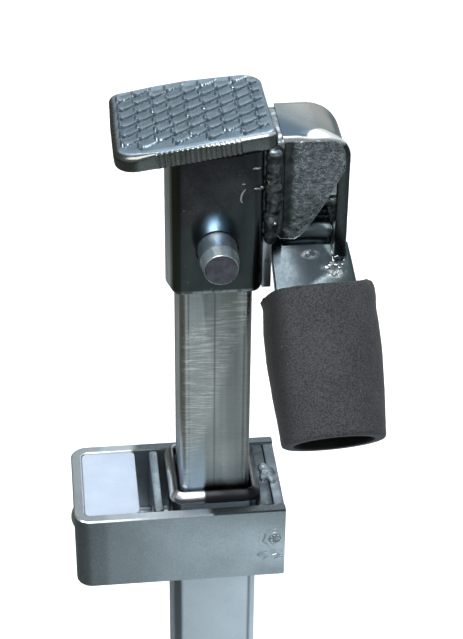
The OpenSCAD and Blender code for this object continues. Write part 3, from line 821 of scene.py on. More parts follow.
VERTICAL = (900, 900, 12)
MATERIALS = {
    "rubber": rubber_material(),
    "tube_zinc": zinc("tube_zinc", (0.64, 0.71, 0.755), (0.76, 0.83, 0.88), (0.30, 0.40), 40, 1200, 0.03,
                      extra=tube_zinc_extra),
    "tube_brushed": zinc("tube_brushed", (0.36, 0.37, 0.345), (0.46, 0.475, 0.445), (0.26, 0.38), 60, 1200,
                         0.05, VERTICAL, tube_brushed_extra),
    "loop_zinc": zinc("loop_zinc", (0.41, 0.46, 0.48), (0.52, 0.58, 0.605), (0.34, 0.46), 45, 1500, 0.10,
                      extra=loop_extra),
    "plate_zinc": zinc("plate_zinc", (0.15, 0.18, 0.20), (0.27, 0.32, 0.35), (0.26, 0.40), 160, 1300, 0.08),
    "web_zinc": zinc("web_zinc", (0.15, 0.18, 0.20), (0.27, 0.32, 0.35), (0.26, 0.40), 160, 1300, 0.08,
                     extra=web_extra),
    "end_zinc": zinc("end_zinc", (0.05, 0.063, 0.070), (0.125, 0.15, 0.165), (0.26, 0.40), 200, 1300, 0.10),
    # A bright copy of the loop's zinc for its top edge chamfers: a painted highlight.
    "painted_edge_highlight": zinc("painted_edge_highlight", (0.70, 0.74, 0.76), (0.93, 0.95, 0.97), (0.26, 0.38), 260, 1500, 0.05,
                      extra=edge_highlight_extra),
    "collar_steel": zinc("collar_steel", (0.20, 0.20, 0.21), (0.36, 0.36, 0.37), (0.14, 0.22), 90, 1200, 0.03,
                         extra=collar_extra),
    # The sleeve's near-black base stands in for the dark surroundings it reflects: a painted dark reflection.
    "sleeve_dark": zinc("sleeve_dark", (0.038, 0.038, 0.040), (0.072, 0.070, 0.071), (0.18, 0.28), 70, 1300,
                        0.03, extra=sleeve_extra),
    "tread_zinc": zinc("tread_zinc", (0.25, 0.325, 0.375), (0.425, 0.52, 0.59), (0.22, 0.34), 150, 1400, 0.10,
                       extra=tread_extra),
    "hood_zinc": zinc("hood_zinc", (0.26, 0.30, 0.30), (0.42, 0.45, 0.44), (0.22, 0.34), 110, 1200, 0.06,
                      extra=hood_extra),
    "cheek_cast": cheek_material(),
    "weld": weld_material("weld", (0.24, 0.28, 0.30), (0.52, 0.57, 0.59)),
    "weld_mid": weld_material("weld_mid", (0.10, 0.125, 0.14), (0.34, 0.39, 0.41)),
    "weld_dark": weld_material("weld_dark", (0.05, 0.055, 0.054), (0.24, 0.26, 0.25)),
    "arm_zinc": zinc("arm_zinc", (0.085, 0.11, 0.12), (0.19, 0.23, 0.26), (0.16, 0.26), 190, 1100, 0.14,
                     extra=arm_extra),
    "pin_zinc": zinc("pin_zinc", (0.52, 0.60, 0.66), (0.70, 0.78, 0.84), (0.20, 0.30), 140, 1500, 0.03,
                     extra=pin_extra),
    "pin_end": pin_end_material(),
    "zinc_bright": zinc("zinc_bright", (0.46, 0.50, 0.51), (0.62, 0.66, 0.67), (0.2, 0.32), 150, 1300, 0.05),
    "steel_dark": zinc("steel_dark", (0.12, 0.125, 0.13), (0.24, 0.25, 0.26), (0.28, 0.4), 120, 1300, 0.06),
    "nylon": plastic_material("nylon", (0.56, 0.66, 0.80), (0.62, 0.72, 0.86), 0.38, 0.25),
    "black_plastic": plastic_material("black_plastic", (0.02, 0.02, 0.021), (0.045, 0.045, 0.047), 0.45),
    # Near black for the rubber's bore and the gap round the pin: painted shade.
    "painted_shade_black": plastic_material("painted_shade_black", (0.006, 0.006, 0.006), (0.012, 0.011, 0.012), 0.7),
}
MATERIALS["pin_zinc"].node_tree.nodes["Principled BSDF"].inputs["Metallic"].default_value = 0.75
MATERIALS["painted_shade_black"].node_tree.nodes["Principled BSDF"].inputs["Specular IOR Level"].default_value = 0.1


# ---- Tubes ----

def soften_corners(obj, half, radius, wanted):
    """Widens the round corners of a square tube's outer skin."""
    def shift(p):
        if max(abs(p.x), abs(p.y)) < half - 2.0:
            return Vector((0, 0, 0))
        fx, fy = abs(p.x) - (half - wanted), abs(p.y) - (half - wanted)
        reach = math.hypot(abs(p.x) - half + radius, abs(p.y) - half + radius)
        if fx <= 0 or fy <= 0 or reach < radius - 0.3:
            return Vector((0, 0, 0))
        size = math.hypot(fx, fy)
        extra = min(wanted - size, 0.0)
        return Vector((math.copysign(fx / size * extra, p.x), math.copysign(fy / size * extra, p.y), 0))
    warp(obj, shift)


def build_tubes():
    outer = from_cad("outer_tube_skin", "outer_tube", 0.4)
    finish_piece(outer, "outer", MATERIALS["tube_zinc"], ["outer_tube"])
    inner = from_cad("inner_tube_skin", "inner_tube", 0.25)
    soften_corners(inner, INNER_HALF, 2.5, 3.3)
    finish_piece(inner, "plunger", MATERIALS["tube_brushed"], ["inner_tube"])
    sleeve = from_cad("head_sleeve_skin", "head_sleeve", 0.45, 3)
    warp(sleeve, lambda p: Vector((0, 0, 2.6 * smoothstep(-13.5, 10.0, p.y) * smoothstep(296.0, 286.0, p.z))))
    finish_piece(sleeve, "plunger", MATERIALS["sleeve_dark"], ["head_sleeve"])


def build_collar():
    """A pressed ring: upright rim, a flat slope outside, a narrow top, and a turned-down inner lip."""
    z = LOOP_TOP + 0.8
    half = 17.2
    profile = [(0.35, z), (0.0, z + 0.3), (0.0, z + 1.1), (0.2, z + 1.6), (1.9, z + 3.6), (2.15, z + 3.9),
               (2.6, z + 4.2), (3.1, z + 4.1), (3.5, z + 3.7), (3.8, z + 3.0), (4.05, z + 2.0), (4.15, z)]
    ring = square_sweep("collar_ring", half, 5.0, profile, corner_steps=12, side_steps=14)
    displace(ring, lambda p: 0.08 * bumpy(p, 6, 3.0))
    finish_piece(ring, "outer", MATERIALS["collar_steel"], ["tube_collar"], 26)


# ---- Strap loop ----

def build_loop():
    loop = from_cad("strap_loop", "clamp_loop", 0.7, 1)
    finish_piece(loop, "outer", MATERIALS["loop_zinc"], ["clamp_loop"])
    # The top edge chamfers take the painted highlight and shadow material.
    loop.data.materials.append(MATERIALS["painted_edge_highlight"])
    for face in loop.data.polygons:
        if 0.4 < face.normal.z < 0.95 and face.normal.y < 0.2:
            face.material_index = 1
    near = -LOOP_FACE + 0.05
    warp(loop, lambda p: Vector((0, 0, -0.17 if p.y < near and p.z > LOOP_TOP - 1.2 else 0.0)))
    block = from_cad("nylon_slab", "nylon_block", 0.5, 3)
    finish_piece(block, "outer", MATERIALS["nylon"], ["nylon_block"])
    plate = from_cad("pressure_bar", "pressure_plate", 0.55, 3)
    finish_piece(plate, "plate", MATERIALS["plate_zinc"], ["pressure_plate"])
    near_end = from_cad("end_bar_inner", "end_plate_inner", 0.5, 2)
    finish_piece(near_end, "outer", MATERIALS["end_zinc"], ["end_plate_inner"])
    far_end = from_cad("end_bar_outer", "end_plate_outer", 0.4, 2)
    finish_piece(far_end, "outer", MATERIALS["plate_zinc"], ["end_plate_outer"])


def plug_ripple(x, z):
    """Height of the strap's skin where the plug weld pulled it: rings on the left, short folds below."""
    d = math.hypot(x - PLUG_X, z - PLUG_Z)
    border = smoothstep(13.6, 15.6, x) * smoothstep(25.4, 24.6, x)
    border *= smoothstep(163.3, 165.0, z) * smoothstep(183.8, 182.0, z)
    left = smoothstep(24.4, 21.5, x) * smoothstep(171.0, 174.0, z)
    phase = (d + 0.7 * bumpy((x, 0, z), 2.2, 3.0) - 2.6) / 1.9
    rings = math.cos(2 * math.pi * phase) * math.exp(-((d - 3.6) / 2.2) ** 2)
    low = math.exp(-((z - 168.2) / 2.3) ** 2) * smoothstep(14.0, 18.5, x)
    folds = bumpy((x * 0.35, 0, z), 1.0, 2.0) + 0.5 * bumpy((x, 0, z * 1.6), 1.1, 5.0)
    return border * (0.44 * left * rings + 0.85 * low * folds) - 0.02


def build_loop_welds():
    """The tack across the end bars' seam and a plug weld on each leg of the strap."""
    z = LOOP_TOP - 0.4
    lumps = [((21.6, 0.3, z), (3.2, 4.2, 0.95)), ((20.2, 3.4, z), (2.1, 3.4, 0.75)),
             ((22.8, -3.6, z), (1.8, 2.8, 0.65)), ((19.4, -2.6, z), (1.5, 2.4, 0.6))]
    parts = [blob("tack", place, radii) for place, radii in lumps]
    tack = join("seam_tack", parts)
    remesh(tack, 0.24, 5)
    displace(tack, lambda p: 0.20 * bumpy(p, 2.2, 5.0) + 0.06 * bumpy(p, 0.8, 2.0))
    finish_piece(tack, "outer", MATERIALS["weld_mid"], ["end_seam_weld"], 60)
    lumps = []
    for side in (-1, 1):
        face = side * LOOP_FACE
        lumps.append(blob("rosette", (PLUG_X, face, PLUG_Z), (1.9, 0.5, 1.9)))
        for k in range(7):
            x = PLUG_X + 1.5 * math.cos(0.9 * k)
            z = PLUG_Z + 1.5 * math.sin(0.9 * k)
            lumps.append(blob("lump", (x, face, z), (0.65, 0.62, 0.5)))
    rosettes = join("plug_rosettes", lumps)
    displace(rosettes, lambda p: 0.10 * bumpy(p, 0.9, 2.0))
    finish_piece(rosettes, "outer", MATERIALS["weld"], ["plug_welds"], 60)
    for side, name in ((-1, "plug_ripples_front"), (1, "plug_ripples_back")):
        ripples = relief(name, (13.4, 163.2), (25.4, 184.0), 0.22,
                         lambda x, z: (x, side * (LOOP_FACE - 0.02 + plug_ripple(x, z)), z),
                         (0, -side * 0.5, 0))
        finish_piece(ripples, "outer", MATERIALS["loop_zinc"], (), 60)


def build_bolts():
    """Domed bolt head on the loop's closed end, and the pan-head screw in the tube's back."""
    bolt = from_cad("guide_bolt_body", "guide_bolt", 0.15)
    finish_piece(bolt, "outer", MATERIALS["zinc_bright"], ["guide_bolt"])
    place = placed((0, TUBE_HALF, 138.0), (0, 1, 0))
    profile = [(2.5, -4.9), (2.5, 0.0), (4.6, 0.02), (4.6, 1.2), (4.35, 1.9), (3.7, 2.5), (2.6, 2.8),
               (2.35, 2.8), (2.35, 1.3), (0.0, 1.3)]
    screw = lathe("travel_screw_body", profile, 48, place)
    finish_piece(screw, "outer", MATERIALS["zinc_bright"], ["travel_screw"])


# ---- Foot ----

def build_foot():
    """Rubber foot: ribbed sides, a soft lip, and a sole with cross grooves."""
    half = 19.5
    profile = [(half - 0.6, 0.0), (9.0, 0.0), (2.2, 0.0), (1.2, 0.25), (0.5, 0.9), (0.1, 1.8)]
    for k in range(4):
        z = 3.2 + 4.4 * k
        profile += [(0.0, z), (0.05, z + 1.5), (0.75, z + 2.1), (0.75, z + 2.8), (0.05, z + 3.4)]
    profile += [(0.0, 22.0), (0.1, 24.6), (0.7, 25.7), (1.6, 26.0), (2.6, 25.8), (3.4, 25.2), (3.62, 24.4),
                (3.62, 10.0), (half - 0.6, 10.0)]
    foot = square_sweep("foot_boot", half, 6.0, profile, loop=False, corner_steps=9, side_steps=10)
    for k in range(-3, 4):
        middle = 5.2 * k
        section = [(-25, -0.5), (25, -0.5), (25, 0.9), (-25, 0.9)]
        cut(foot, prism("groove", section, "Y", middle - 0.9, middle + 0.9))
    place = placed((-25, 0, 20.0), (1, 0, 0))
    cut(foot, lathe("pin_path", [(2.5, 0), (2.5, 50)], 40, place))
    finish_piece(foot, "outer", MATERIALS["rubber"], ["rubber_foot"])


# ---- Springs ----

def coil(name, radius, wire, turns, low, high, place, per_turn=28, sides=12):
    """A compression spring along Z whose end turns lie flat."""
    steps = int(turns * per_turn)
    centres = []
    for i in range(steps + 1):
        t = i / steps
        lead = wire * min(t * turns, 1) + wire * max(t * turns - turns + 1, 0)
        free = min(max((t - 1 / turns) / (1 - 2 / turns), 0), 1)
        a = 2 * math.pi * turns * t
        centres.append((a, low + wire / 2 + lead + (high - low - 3 * wire) * free))
    rings = []
    for a, z in centres:
        ring = []
        for j in range(sides):
            b = 2 * math.pi * j / sides
            reach = radius + wire / 2 * math.cos(b)
            ring.append((reach * math.cos(a), reach * math.sin(a), z + wire / 2 * math.sin(b)))
        rings.append(ring)
    obj = loft(name, rings, True, True)
    obj.data.transform(place)
    return obj


def build_springs():
    spring = coil("main_spring_wire", 9.2, 3.0, 10, SPRING_LOW, SPRING_HIGH, Matrix.Identity(4))
    finish_piece(spring, "outer", MATERIALS["steel_dark"], ["main_spring"], 60)
    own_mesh(spring)
    place = placed((0, -8.5, PIN_Z), (0, 1, 0))
    small = coil("pin_spring_wire", 5.0, 0.8, 4, 0.0, 19.1, place, 24, 8)
    finish_piece(small, "plunger", MATERIALS["zinc_bright"], ["pin_spring"], 60)
    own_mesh(small)


# ---- Tread plate ----

TREAD_LEFT, TREAD_RIGHT, TREAD_FRONT, TREAD_BACK = -28.0, 26.0, -16.0, 30.5
TREAD_CORNERS = {"lf": 6.0, "rf": 2.3, "rb": 7.2, "lb": 2.6}
TREAD_ROUND = 0.75
TREAD_SOFT = 2.7
CLAW_FIRST = (-24.2, -9.0)
CLAW_PITCH = (5.7, 6.2)
CLAW_COLUMNS = 9
CLAW_SHIFT = -3.1
CLAW_LAST = 25.5
RIB_PITCH = 1.7
RIB_FIRST = -13.4
RIB_COUNT = 17


def tread_round(u, v):
    """Radius of the top edge's round-over: large at the left, small elsewhere."""
    left = 1 - smoothstep(-23.0, -11.0, u)
    back = smoothstep(16.0, 28.0, v)
    lip = 0.8 * smoothstep(-2.0, 9.0, u) * (1 - smoothstep(-12.0, -6.0, v))
    return TREAD_ROUND + (TREAD_SOFT - TREAD_ROUND) * left * (1 - 0.55 * back) + lip


def tread_plan(u, v):
    """From the straight-sided plan to the plate's top face: slanted near edge, bowed far edge."""
    across = (u - TREAD_LEFT) / (TREAD_RIGHT - TREAD_LEFT)
    along = (v - TREAD_FRONT) / (TREAD_BACK - TREAD_FRONT)
    x, y = u, v
    for _ in range(3):
        left = -27.95 + 0.65 * smoothstep(6.0, 32.0, y) + tread_round(-28.0, y)
        right = 26.2 - 0.6 * (y + 14.5) / 44.3 - TREAD_ROUND
        x = left + (right - left) * across
        near = -17.5 + 3.0 * (x + 27.9) / 54.1 + tread_round(x, -17.0)
        far = 31.8 - 0.083 * math.sqrt(x * x + 6.0) - tread_round(x, 30.0)
        y = near + (far - near) * along
    return x, y


def tread_ends(v):
    """Left and right ends of the straight-sided plan at a depth v, with its round corners."""
    ends = []
    for side, base in (("l", TREAD_LEFT), ("r", TREAD_RIGHT)):
        sign = 1 if side == "l" else -1
        x = base
        for key, edge in (("f", TREAD_FRONT), ("b", TREAD_BACK)):
            r = TREAD_CORNERS[side + key]
            into = r - abs(v - edge)
            if into > 0:
                x = base + sign * (r - math.sqrt(max(r * r - into * into, 0.0)))
        ends.append(x)
    return ends


def claw(a, b):
    """Height of one claw at a place right of its tip and behind it: a raised scale with a curved lip."""
    if b < -0.4 or b > 6.6 or a < -1.4 or a > 6.2:
        return 0.0
    lip = 2.9 * (max(a, 0.0) / 5.7) ** 2.0
    behind = b - lip
    if behind < -0.3:
        return 0.0
    side = smoothstep(-1.0, 0.0, a) if a < 0 else 1 - 0.30 * min(a / 5.7, 1.0)
    tip = math.exp(-(a / 0.5) ** 2) * max(1 - max(b, 0.0) / 6.2, 0.0)
    slope = max(1 - max(behind, 0.0) / 4.5, 0.0) ** 1.7
    return smoothstep(-0.3, 0.0, behind) * (0.70 * side * slope + 0.75 * tip * smoothstep(6.4, 5.4, b))


def claws(u, v):
    """Height of the staggered claws."""
    best = 0.0
    column = math.floor((u - CLAW_FIRST[0]) / CLAW_PITCH[0])
    for i in (column - 1, column, column + 1):
        if not 0 <= i < CLAW_COLUMNS:
            continue
        first = CLAW_FIRST[1] + (i % 2) * CLAW_SHIFT
        row = math.floor((v - first) / CLAW_PITCH[1])
        for j in (row - 1, row, row + 1):
            tip = first + j * CLAW_PITCH[1]
            if j < 0 or tip > CLAW_LAST:
                continue
            wobble = 0.3 * bumpy((i * 3.1, j * 2.7, 0.0), 1.0, 4.0)
            best = max(best, claw(u - CLAW_FIRST[0] - i * CLAW_PITCH[0] - wobble, v - tip - wobble))
    return best


def tread_top(u, v, edge):
    """Height of the top skin above the plate's flat level, edge being the distance to its border."""
    near = -17.5 + 3.0 * (u + 27.9) / 54.1
    mask = smoothstep(0.0, 1.2, edge) * smoothstep(2.2, 3.0, v - near)
    dent = 0.10 * math.exp(-((u - 17.0) / 5.0) ** 2 - ((v + 9.0) / 2.4) ** 2) * bumpy((u, v, 3.0), 1.2, 2.0)
    return mask * claws(u, v) + 0.05 * bumpy((u, v, 0), 3.0, 1.0) + dent


def rib(u):
    """How far the front face's ribs stand out."""
    k = round((u - RIB_FIRST) / RIB_PITCH)
    if not 0 <= k < RIB_COUNT:
        return 0.0
    d = (u - RIB_FIRST - k * RIB_PITCH) / 0.62
    return 0.55 * math.sqrt(max(1 - d * d, 0.0))


def tread_rows():
    """Depths of the grid's rows, closer together at the round corners."""
    edge, step = 7.2, 0.29
    rows = [TREAD_FRONT + edge * (1 - math.cos(math.pi / 2 * k / 24)) for k in range(24)]
    count = round((TREAD_BACK - TREAD_FRONT - 2 * edge) / step)
    rows += [TREAD_FRONT + edge + (TREAD_BACK - TREAD_FRONT - 2 * edge) * k / count for k in range(count)]
    rows += [TREAD_BACK - edge * (1 - math.cos(math.pi / 2 * k / 24)) for k in range(24, -1, -1)]
    return rows


def tread_matrix(p):
    """From the plate's own frame to the model's."""
    c, s = math.cos(TREAD_TILT), math.sin(TREAD_TILT)
    return (TREAD_X + p[0] * c - p[2] * s, p[1], HEAD_TOP_Z + p[0] * s + p[2] * c)


def border_normals(points):
    """Outward directions of a closed anticlockwise border."""
    result = []
    count = len(points)
    for k in range(count):
        a, b = points[k - 2], points[(k + 2) % count]
        dx, dy = b[0] - a[0], b[1] - a[1]
        size = math.hypot(dx, dy) or 1.0
        result.append((dy / size, -dx / size))
    return result


def tread_wall(verts, border):
    """Adds the rings of the plate's edge, from the top face's border down to the underside."""
    points = [verts[k][:2] for k in border]
    normals = border_normals(points)
    turns = [15, 30, 45, 60, 75, 90]
    levels = [(math.sin(math.radians(t)), 1 - math.cos(math.radians(t)), 0.0) for t in turns]
    levels += [(1.0, None, 3.0), (1.0, None, 1.0), (0.97, None, 0.45), (0.85, None, 0.12), (0.6, None, 0.0)]
    rings = [border]
    for out, drop, low in levels:
        ring = []
        for (u, v), (nx, ny) in zip(points, normals):
            r = tread_round(u, v)
            top = max(r * drop, 0.0) if drop is not None else None
            z = TREAD_T - top if top is not None else low
            wave = max(0.0, math.cos(2 * math.pi * (v + 9.0) / 3.1))
            notch = 0.55 * wave ** 5 * smoothstep(-0.6, -0.95, nx)
            notch *= smoothstep(TREAD_T - 3.4, TREAD_T - 1.5, z) * smoothstep(-13, -10, v)
            reach = r * out - notch * out
            ridge = rib(u) * smoothstep(-0.9, -0.98, ny) * smoothstep(0.0, 0.9, out)
            ridge *= 1.0 if z > 0.4 else 0.4
            if drop is None and low < 1.0:
                reach = r * 1.0 - (1.0 - out)
            ring.append(len(verts))
            verts.append((u + nx * reach, v + ny * (reach + ridge), z))
        rings.append(ring)
    return rings


def build_tread():
    rows = tread_rows()
    columns = 210
    verts, index = [], {}
    for j, v in enumerate(rows):
        left, right = tread_ends(v)
        for i in range(columns + 1):
            u = left + (right - left) * i / columns
            edge = min(u - left, right - u, v - TREAD_FRONT, TREAD_BACK - v)
            x, y = tread_plan(u, v)
            index[i, j] = len(verts)
            verts.append((x, y, TREAD_T + tread_top(x, y, edge)))
    last = len(rows) - 1
    faces = [[index[i, j], index[i + 1, j], index[i + 1, j + 1], index[i, j + 1]]
             for j in range(last) for i in range(columns)]
    border = [(i, 0) for i in range(columns)] + [(columns, j) for j in range(last)]
    border += [(i, last) for i in range(columns, 0, -1)] + [(0, j) for j in range(last, 0, -1)]
    rings = tread_wall(verts, [index[key] for key in border])
    count = len(border)
    for a, b in zip(rings, rings[1:]):
        faces += [[a[k], a[(k + 1) % count], b[(k + 1) % count], b[k]] for k in range(count)]
    faces.append(rings[-1])
    plate = make_object("tread_slab", [tread_matrix(p) for p in verts], faces)
    displace(plate, lambda p: 0.05 * bumpy(p, 5, 8.0))
    warp(plate, lambda p: Vector((0, min(0.0, 31.58 - p.y), min(0.0, 346.46 - p.z))))
    finish_piece(plate, "plunger", MATERIALS["tread_zinc"], ["tread_plate"], 32)


# ---- Peg bracket ----

def build_web():
    """The side plate with the flattened weld that runs along its top."""
    plate = from_cad("web_plate", "bracket_web", 0.5, 2)
    finish_piece(plate, "plunger", MATERIALS["web_zinc"], ["bracket_web"])
    rings = []
    steps = 60
    for i in range(steps + 1):
        y = -12.5 + 25.0 * i / steps
        end = math.sqrt(max(1 - (abs(y) / 12.9) ** 8, 0.05))
        ring = []
        for k in range(25):
            t = k / 24
            x = 16.1 + 7.2 * t
            crown = 3.3 * math.sin(math.pi * min(t * 0.62 + 0.06, 1.0))
            z = 338.9 + end * (crown + 0.10 * bumpy((x, y, 0), 1.6, 1.0))
            z += 0.22 * end * bumpy((x, y, 0), 3.2, 2.0)
            ring.append((x, y, z))
        ring += [(23.3, y, 338.6), (16.1, y, 338.6)]
        rings.append(ring)
    bead = loft("web_top_bead", rings, True, True)
    finish_piece(bead, "plunger", MATERIALS["weld"], (), 60)


def strap_outline():
    """Section across the hood: right leg, bend, top, and the short left leg."""
    right = [(HOOD_RIGHT, HOOD_LOW)]
    outer_bend = arc(*HOOD_BEND, HOOD_OUTER, 0, 90, 20)
    inner_bend = arc(*HOOD_BEND, HOOD_INNER, 90, 0, 14)
    top = [(22.0, HOOD_TOP), (22.0, 339.4), (19.1, 339.0), (19.1, 304.0), (23.3, 304.0), (23.3, 338.4)]
    return right + outer_bend + top + inner_bend + [(HOOD_BEND[0] + HOOD_INNER, HOOD_LOW)]


def densify(points, step):
    """Adds points along a closed outline so that none is further apart than step."""
    result = []
    for a, b in zip(points, points[1:] + points[:1]):
        count = max(1, int(math.ceil(math.dist(a, b) / step)))
        result += [(a[0] + (b[0] - a[0]) * k / count, a[1] + (b[1] - a[1]) * k / count) for k in range(count)]
    return result


def build_strap():
    outline = densify(strap_outline(), 1.2)
    half = HOOD_HALF
    bevels = [(0.62, -half), (0.25, -half + 0.12), (0.0, -half + 0.55)]
    depths = [-half + 0.55 + (2 * half - 1.1) * k / 20 for k in range(1, 20)]
    levels = bevels + [(0.0, y) for y in depths] + [(0.0, half - 0.55), (0.25, half - 0.12), (0.62, half)]
    count = len(outline)
    normals = []
    for k in range(count):
        a, b = outline[k - 1], outline[(k + 1) % count]
        dx, dz = b[0] - a[0], b[1] - a[1]
        size = math.hypot(dx, dz) or 1.0
        normals.append((-dz / size, dx / size))
    area = sum(a[0] * b[1] - b[0] * a[1] for a, b in zip(outline, outline[1:] + outline[:1]))
    sign = 1.0 if area > 0 else -1.0
    rings = [[(p[0] + sign * m[0] * inset, y, p[1] + sign * m[1] * inset) for p, m in zip(outline, normals)]
             for inset, y in levels]
    strap = loft("bracket_hood", rings, True, True)
    fix_normals(strap)

    def shape(p):
        """A lens-shaped flat at the near top edge, and soft unevenness."""
        lens = max(1 - ((p.x - 35.0) / 8.0) ** 2, 0.0)
        lens *= smoothstep(-8.0, -12.2, p.y) * smoothstep(338.0, 341.0, p.z)
        dx, dz = p.x - HOOD_BEND[0], p.z - HOOD_BEND[1]
        reach = math.hypot(dx, dz)
        push = 0.0
        if dx > 0 and dz > 0:
            push = 1.9 * (2 * dx * dz / reach ** 2) ** 1.5
            push *= smoothstep(-5.0, -12.0, p.y) * smoothstep(7.0, 9.0, reach)
        return Vector((0.12 * bumpy(p, 7, 1.0) + push * dx / max(reach, 0.1), 0.05 * bumpy(p, 4, 2.0),
                       0.12 * bumpy(p, 7, 3.0) - 0.9 * lens + push * dz / max(reach, 0.1)))
    warp(strap, shape)
    warp(strap, lambda p: Vector((min(0.0, HOOD_RIGHT - 0.02 - p.x), 0, min(0.0, HOOD_TOP - 0.02 - p.z))))
    finish_piece(strap, "plunger", MATERIALS["hood_zinc"], ["bracket_strap"])


def build_cheek():
    """Flame-cut plate between the strap's legs, flush with their near edge."""
    outline = [(22.4, 307.0), (25.0, 303.6), (26.6, 303.5), (28.5, 304.6), (30.2, 306.6), (31.6, 308.6),
               (33.8, 312.3), (36.2, 316.2), (39.0, 321.4), (41.6, 326.8), (43.0, 329.6), (43.3, 332.0)]
    outline += arc(37.1, 334.9, 6.2, 0, 90, 12) + [(22.4, 341.1)]
    cheek = prism("flame_cut_cheek", outline, "Y", -13.05, -9.2)
    remesh(cheek, 0.42, 1)

    def rough(p):
        face = smoothstep(-11.6, -12.4, p.y) * max(smoothstep(25.2, 26.4, p.x), smoothstep(309.0, 306.5, p.z))
        return face * (0.20 * fractal(p, 1.5, 3.0) - 0.03) + 0.03 * bumpy(p, 2.0)
    displace(cheek, rough)
    warp(cheek, lambda p: Vector((0, max(0.0, -13.3 - p.y), 0)))
    finish_piece(cheek, "plunger", MATERIALS["cheek_cast"], ["cheek_plate"], 70)
    rim_points = [(19.5, 304.4), (20.8, 305.2), (21.8, 304.0)] + outline[1:12]
    rim = wire_along("cheek_rim", [(x, -13.05, z) for x, z in rim_points], 0.18)
    finish_piece(rim, "plunger", MATERIALS["zinc_bright"], (), 60)


def wire_along(name, points, radius):
    """A thin round bead through points, for burrs and bright edges."""
    rings = []
    sides = 8
    for k, p in enumerate(points):
        a = Vector(points[max(k - 1, 0)])
        b = Vector(points[min(k + 1, len(points) - 1)])
        along = (b - a).normalized()
        side = along.cross(Vector((0, 1, 0))).normalized()
        up = along.cross(side).normalized()
        r = radius * (0.8 + 0.35 * bumpy(p, 1.5, 6.0))
        rings.append([tuple(Vector(p) + side * r * math.cos(t) + up * r * math.sin(t))
                      for t in (2 * math.pi * j / sides for j in range(sides))])
    return loft(name, rings, True, True)


def build_web_weld():
    """A stack of ripples down the corner between sleeve and side plate, flowing together lower down."""
    parts = []
    for k in range(9):
        fade = 1 - 0.45 * smoothstep(2.0, 6.0, k)
        slim = smoothstep(4.5, 7.5, k)
        place = (19.2 - 0.9 * slim + 0.3 * math.sin(k * 1.9), -13.0 + 0.3 * slim, 335.6 - 3.8 * k)
        wide = 3.25 - 0.7 * slim + 0.2 * math.sin(k * 2.3)
        parts.append(blob("ripple", place, (wide, 2.0 - 0.4 * slim, 3.1 + 1.2 * (1 - fade)), 20))
    parts.append(blob("column", (18.9, -12.6, 322.5), (2.8, 1.9, 15.0), 24))
    parts.append(blob("top_drop", (19.2, -12.9, 338.0), (3.0, 2.1, 2.2)))
    parts.append(blob("spatter_a", (19.6, -14.1, 310.6), (0.9, 0.8, 1.0)))
    parts.append(blob("spatter_b", (20.0, -14.2, 318.0), (0.6, 0.8, 3.0)))
    parts.append(blob("toe", (18.0, -12.6, 305.2), (2.3, 1.2, 1.6)))
    bead = join("corner_weld", parts)
    remesh(bead, 0.28, 4)
    displace(bead, lambda p: 0.20 * bumpy(p, 2.6, 2.0) + 0.05 * bumpy(p, 0.9, 3.0))
    finish_piece(bead, "plunger", MATERIALS["weld_dark"], ["web_weld"], 70)
    drops = [blob("drop", (19.3, -14.2, 337.9), (2.4, 1.2, 1.5)),
             blob("bead", (19.7, -14.6, 310.8), (0.62, 0.5, 0.7)),
             blob("splash", (13.6, -15.9, 325.6), (1.5, 0.28, 0.42)),
             blob("splash", (14.8, -15.9, 326.0), (0.7, 0.4, 0.6))]
    bright = join("weld_drops", drops)
    displace(bright, lambda p: 0.12 * bumpy(p, 1.1, 4.0))
    finish_piece(bright, "plunger", MATERIALS["weld"], (), 70)


def build_tread_weld():
    """Ripples under the plate along the sleeve's left side."""
    parts = []
    under = HEAD_TOP_Z + (-TUBE_HALF - 0.6 - TREAD_X) * math.tan(TREAD_TILT)
    for k in range(14):
        place = (-TUBE_HALF - 0.3, -11.4 + 1.75 * k, under - 0.7)
        parts.append(blob("ripple", place, (1.9, 1.4, 1.7 + 0.2 * math.sin(k * 2.0))))
    bead = join("under_plate_weld", parts)
    remesh(bead, 0.3, 1)
    displace(bead, lambda p: 0.1 * bumpy(p, 1.4, 5.0))
    finish_piece(bead, "plunger", MATERIALS["weld_dark"], ["tread_weld"], 70)


def build_leg_burr():
    """The ragged, sheared lower end of the strap's right leg."""
    parts = []
    for k in range(16):
        x = 40.9 + 3.9 * RANDOM.random()
        y = -12.6 + 9.0 * RANDOM.random() ** 2
        place = (x, y, HOOD_LOW - 0.3 + 1.0 * RANDOM.random())
        radii = (0.5 + 0.5 * RANDOM.random(), 0.6 + 0.6 * RANDOM.random(), 0.5 + 0.5 * RANDOM.random())
        parts.append(blob("chip", place, radii, 8))
    parts.append(blob("tongue", (42.9, -11.2, 293.7), (2.1, 1.0, 1.75)))
    parts.append(blob("tongue", (42.4, -12.0, 294.4), (1.6, 0.5, 1.0)))
    burr = join("leg_burr", parts)
    remesh(burr, 0.22, 0)
    displace(burr, lambda p: 0.16 * bumpy(p, 0.8, 2.0))
    warp(burr, lambda p: Vector((min(0.0, 44.95 - p.x), 0, 0)))
    finish_piece(burr, "plunger", MATERIALS["weld_mid"], (), 50)


# ---- Push pin and small pins ----

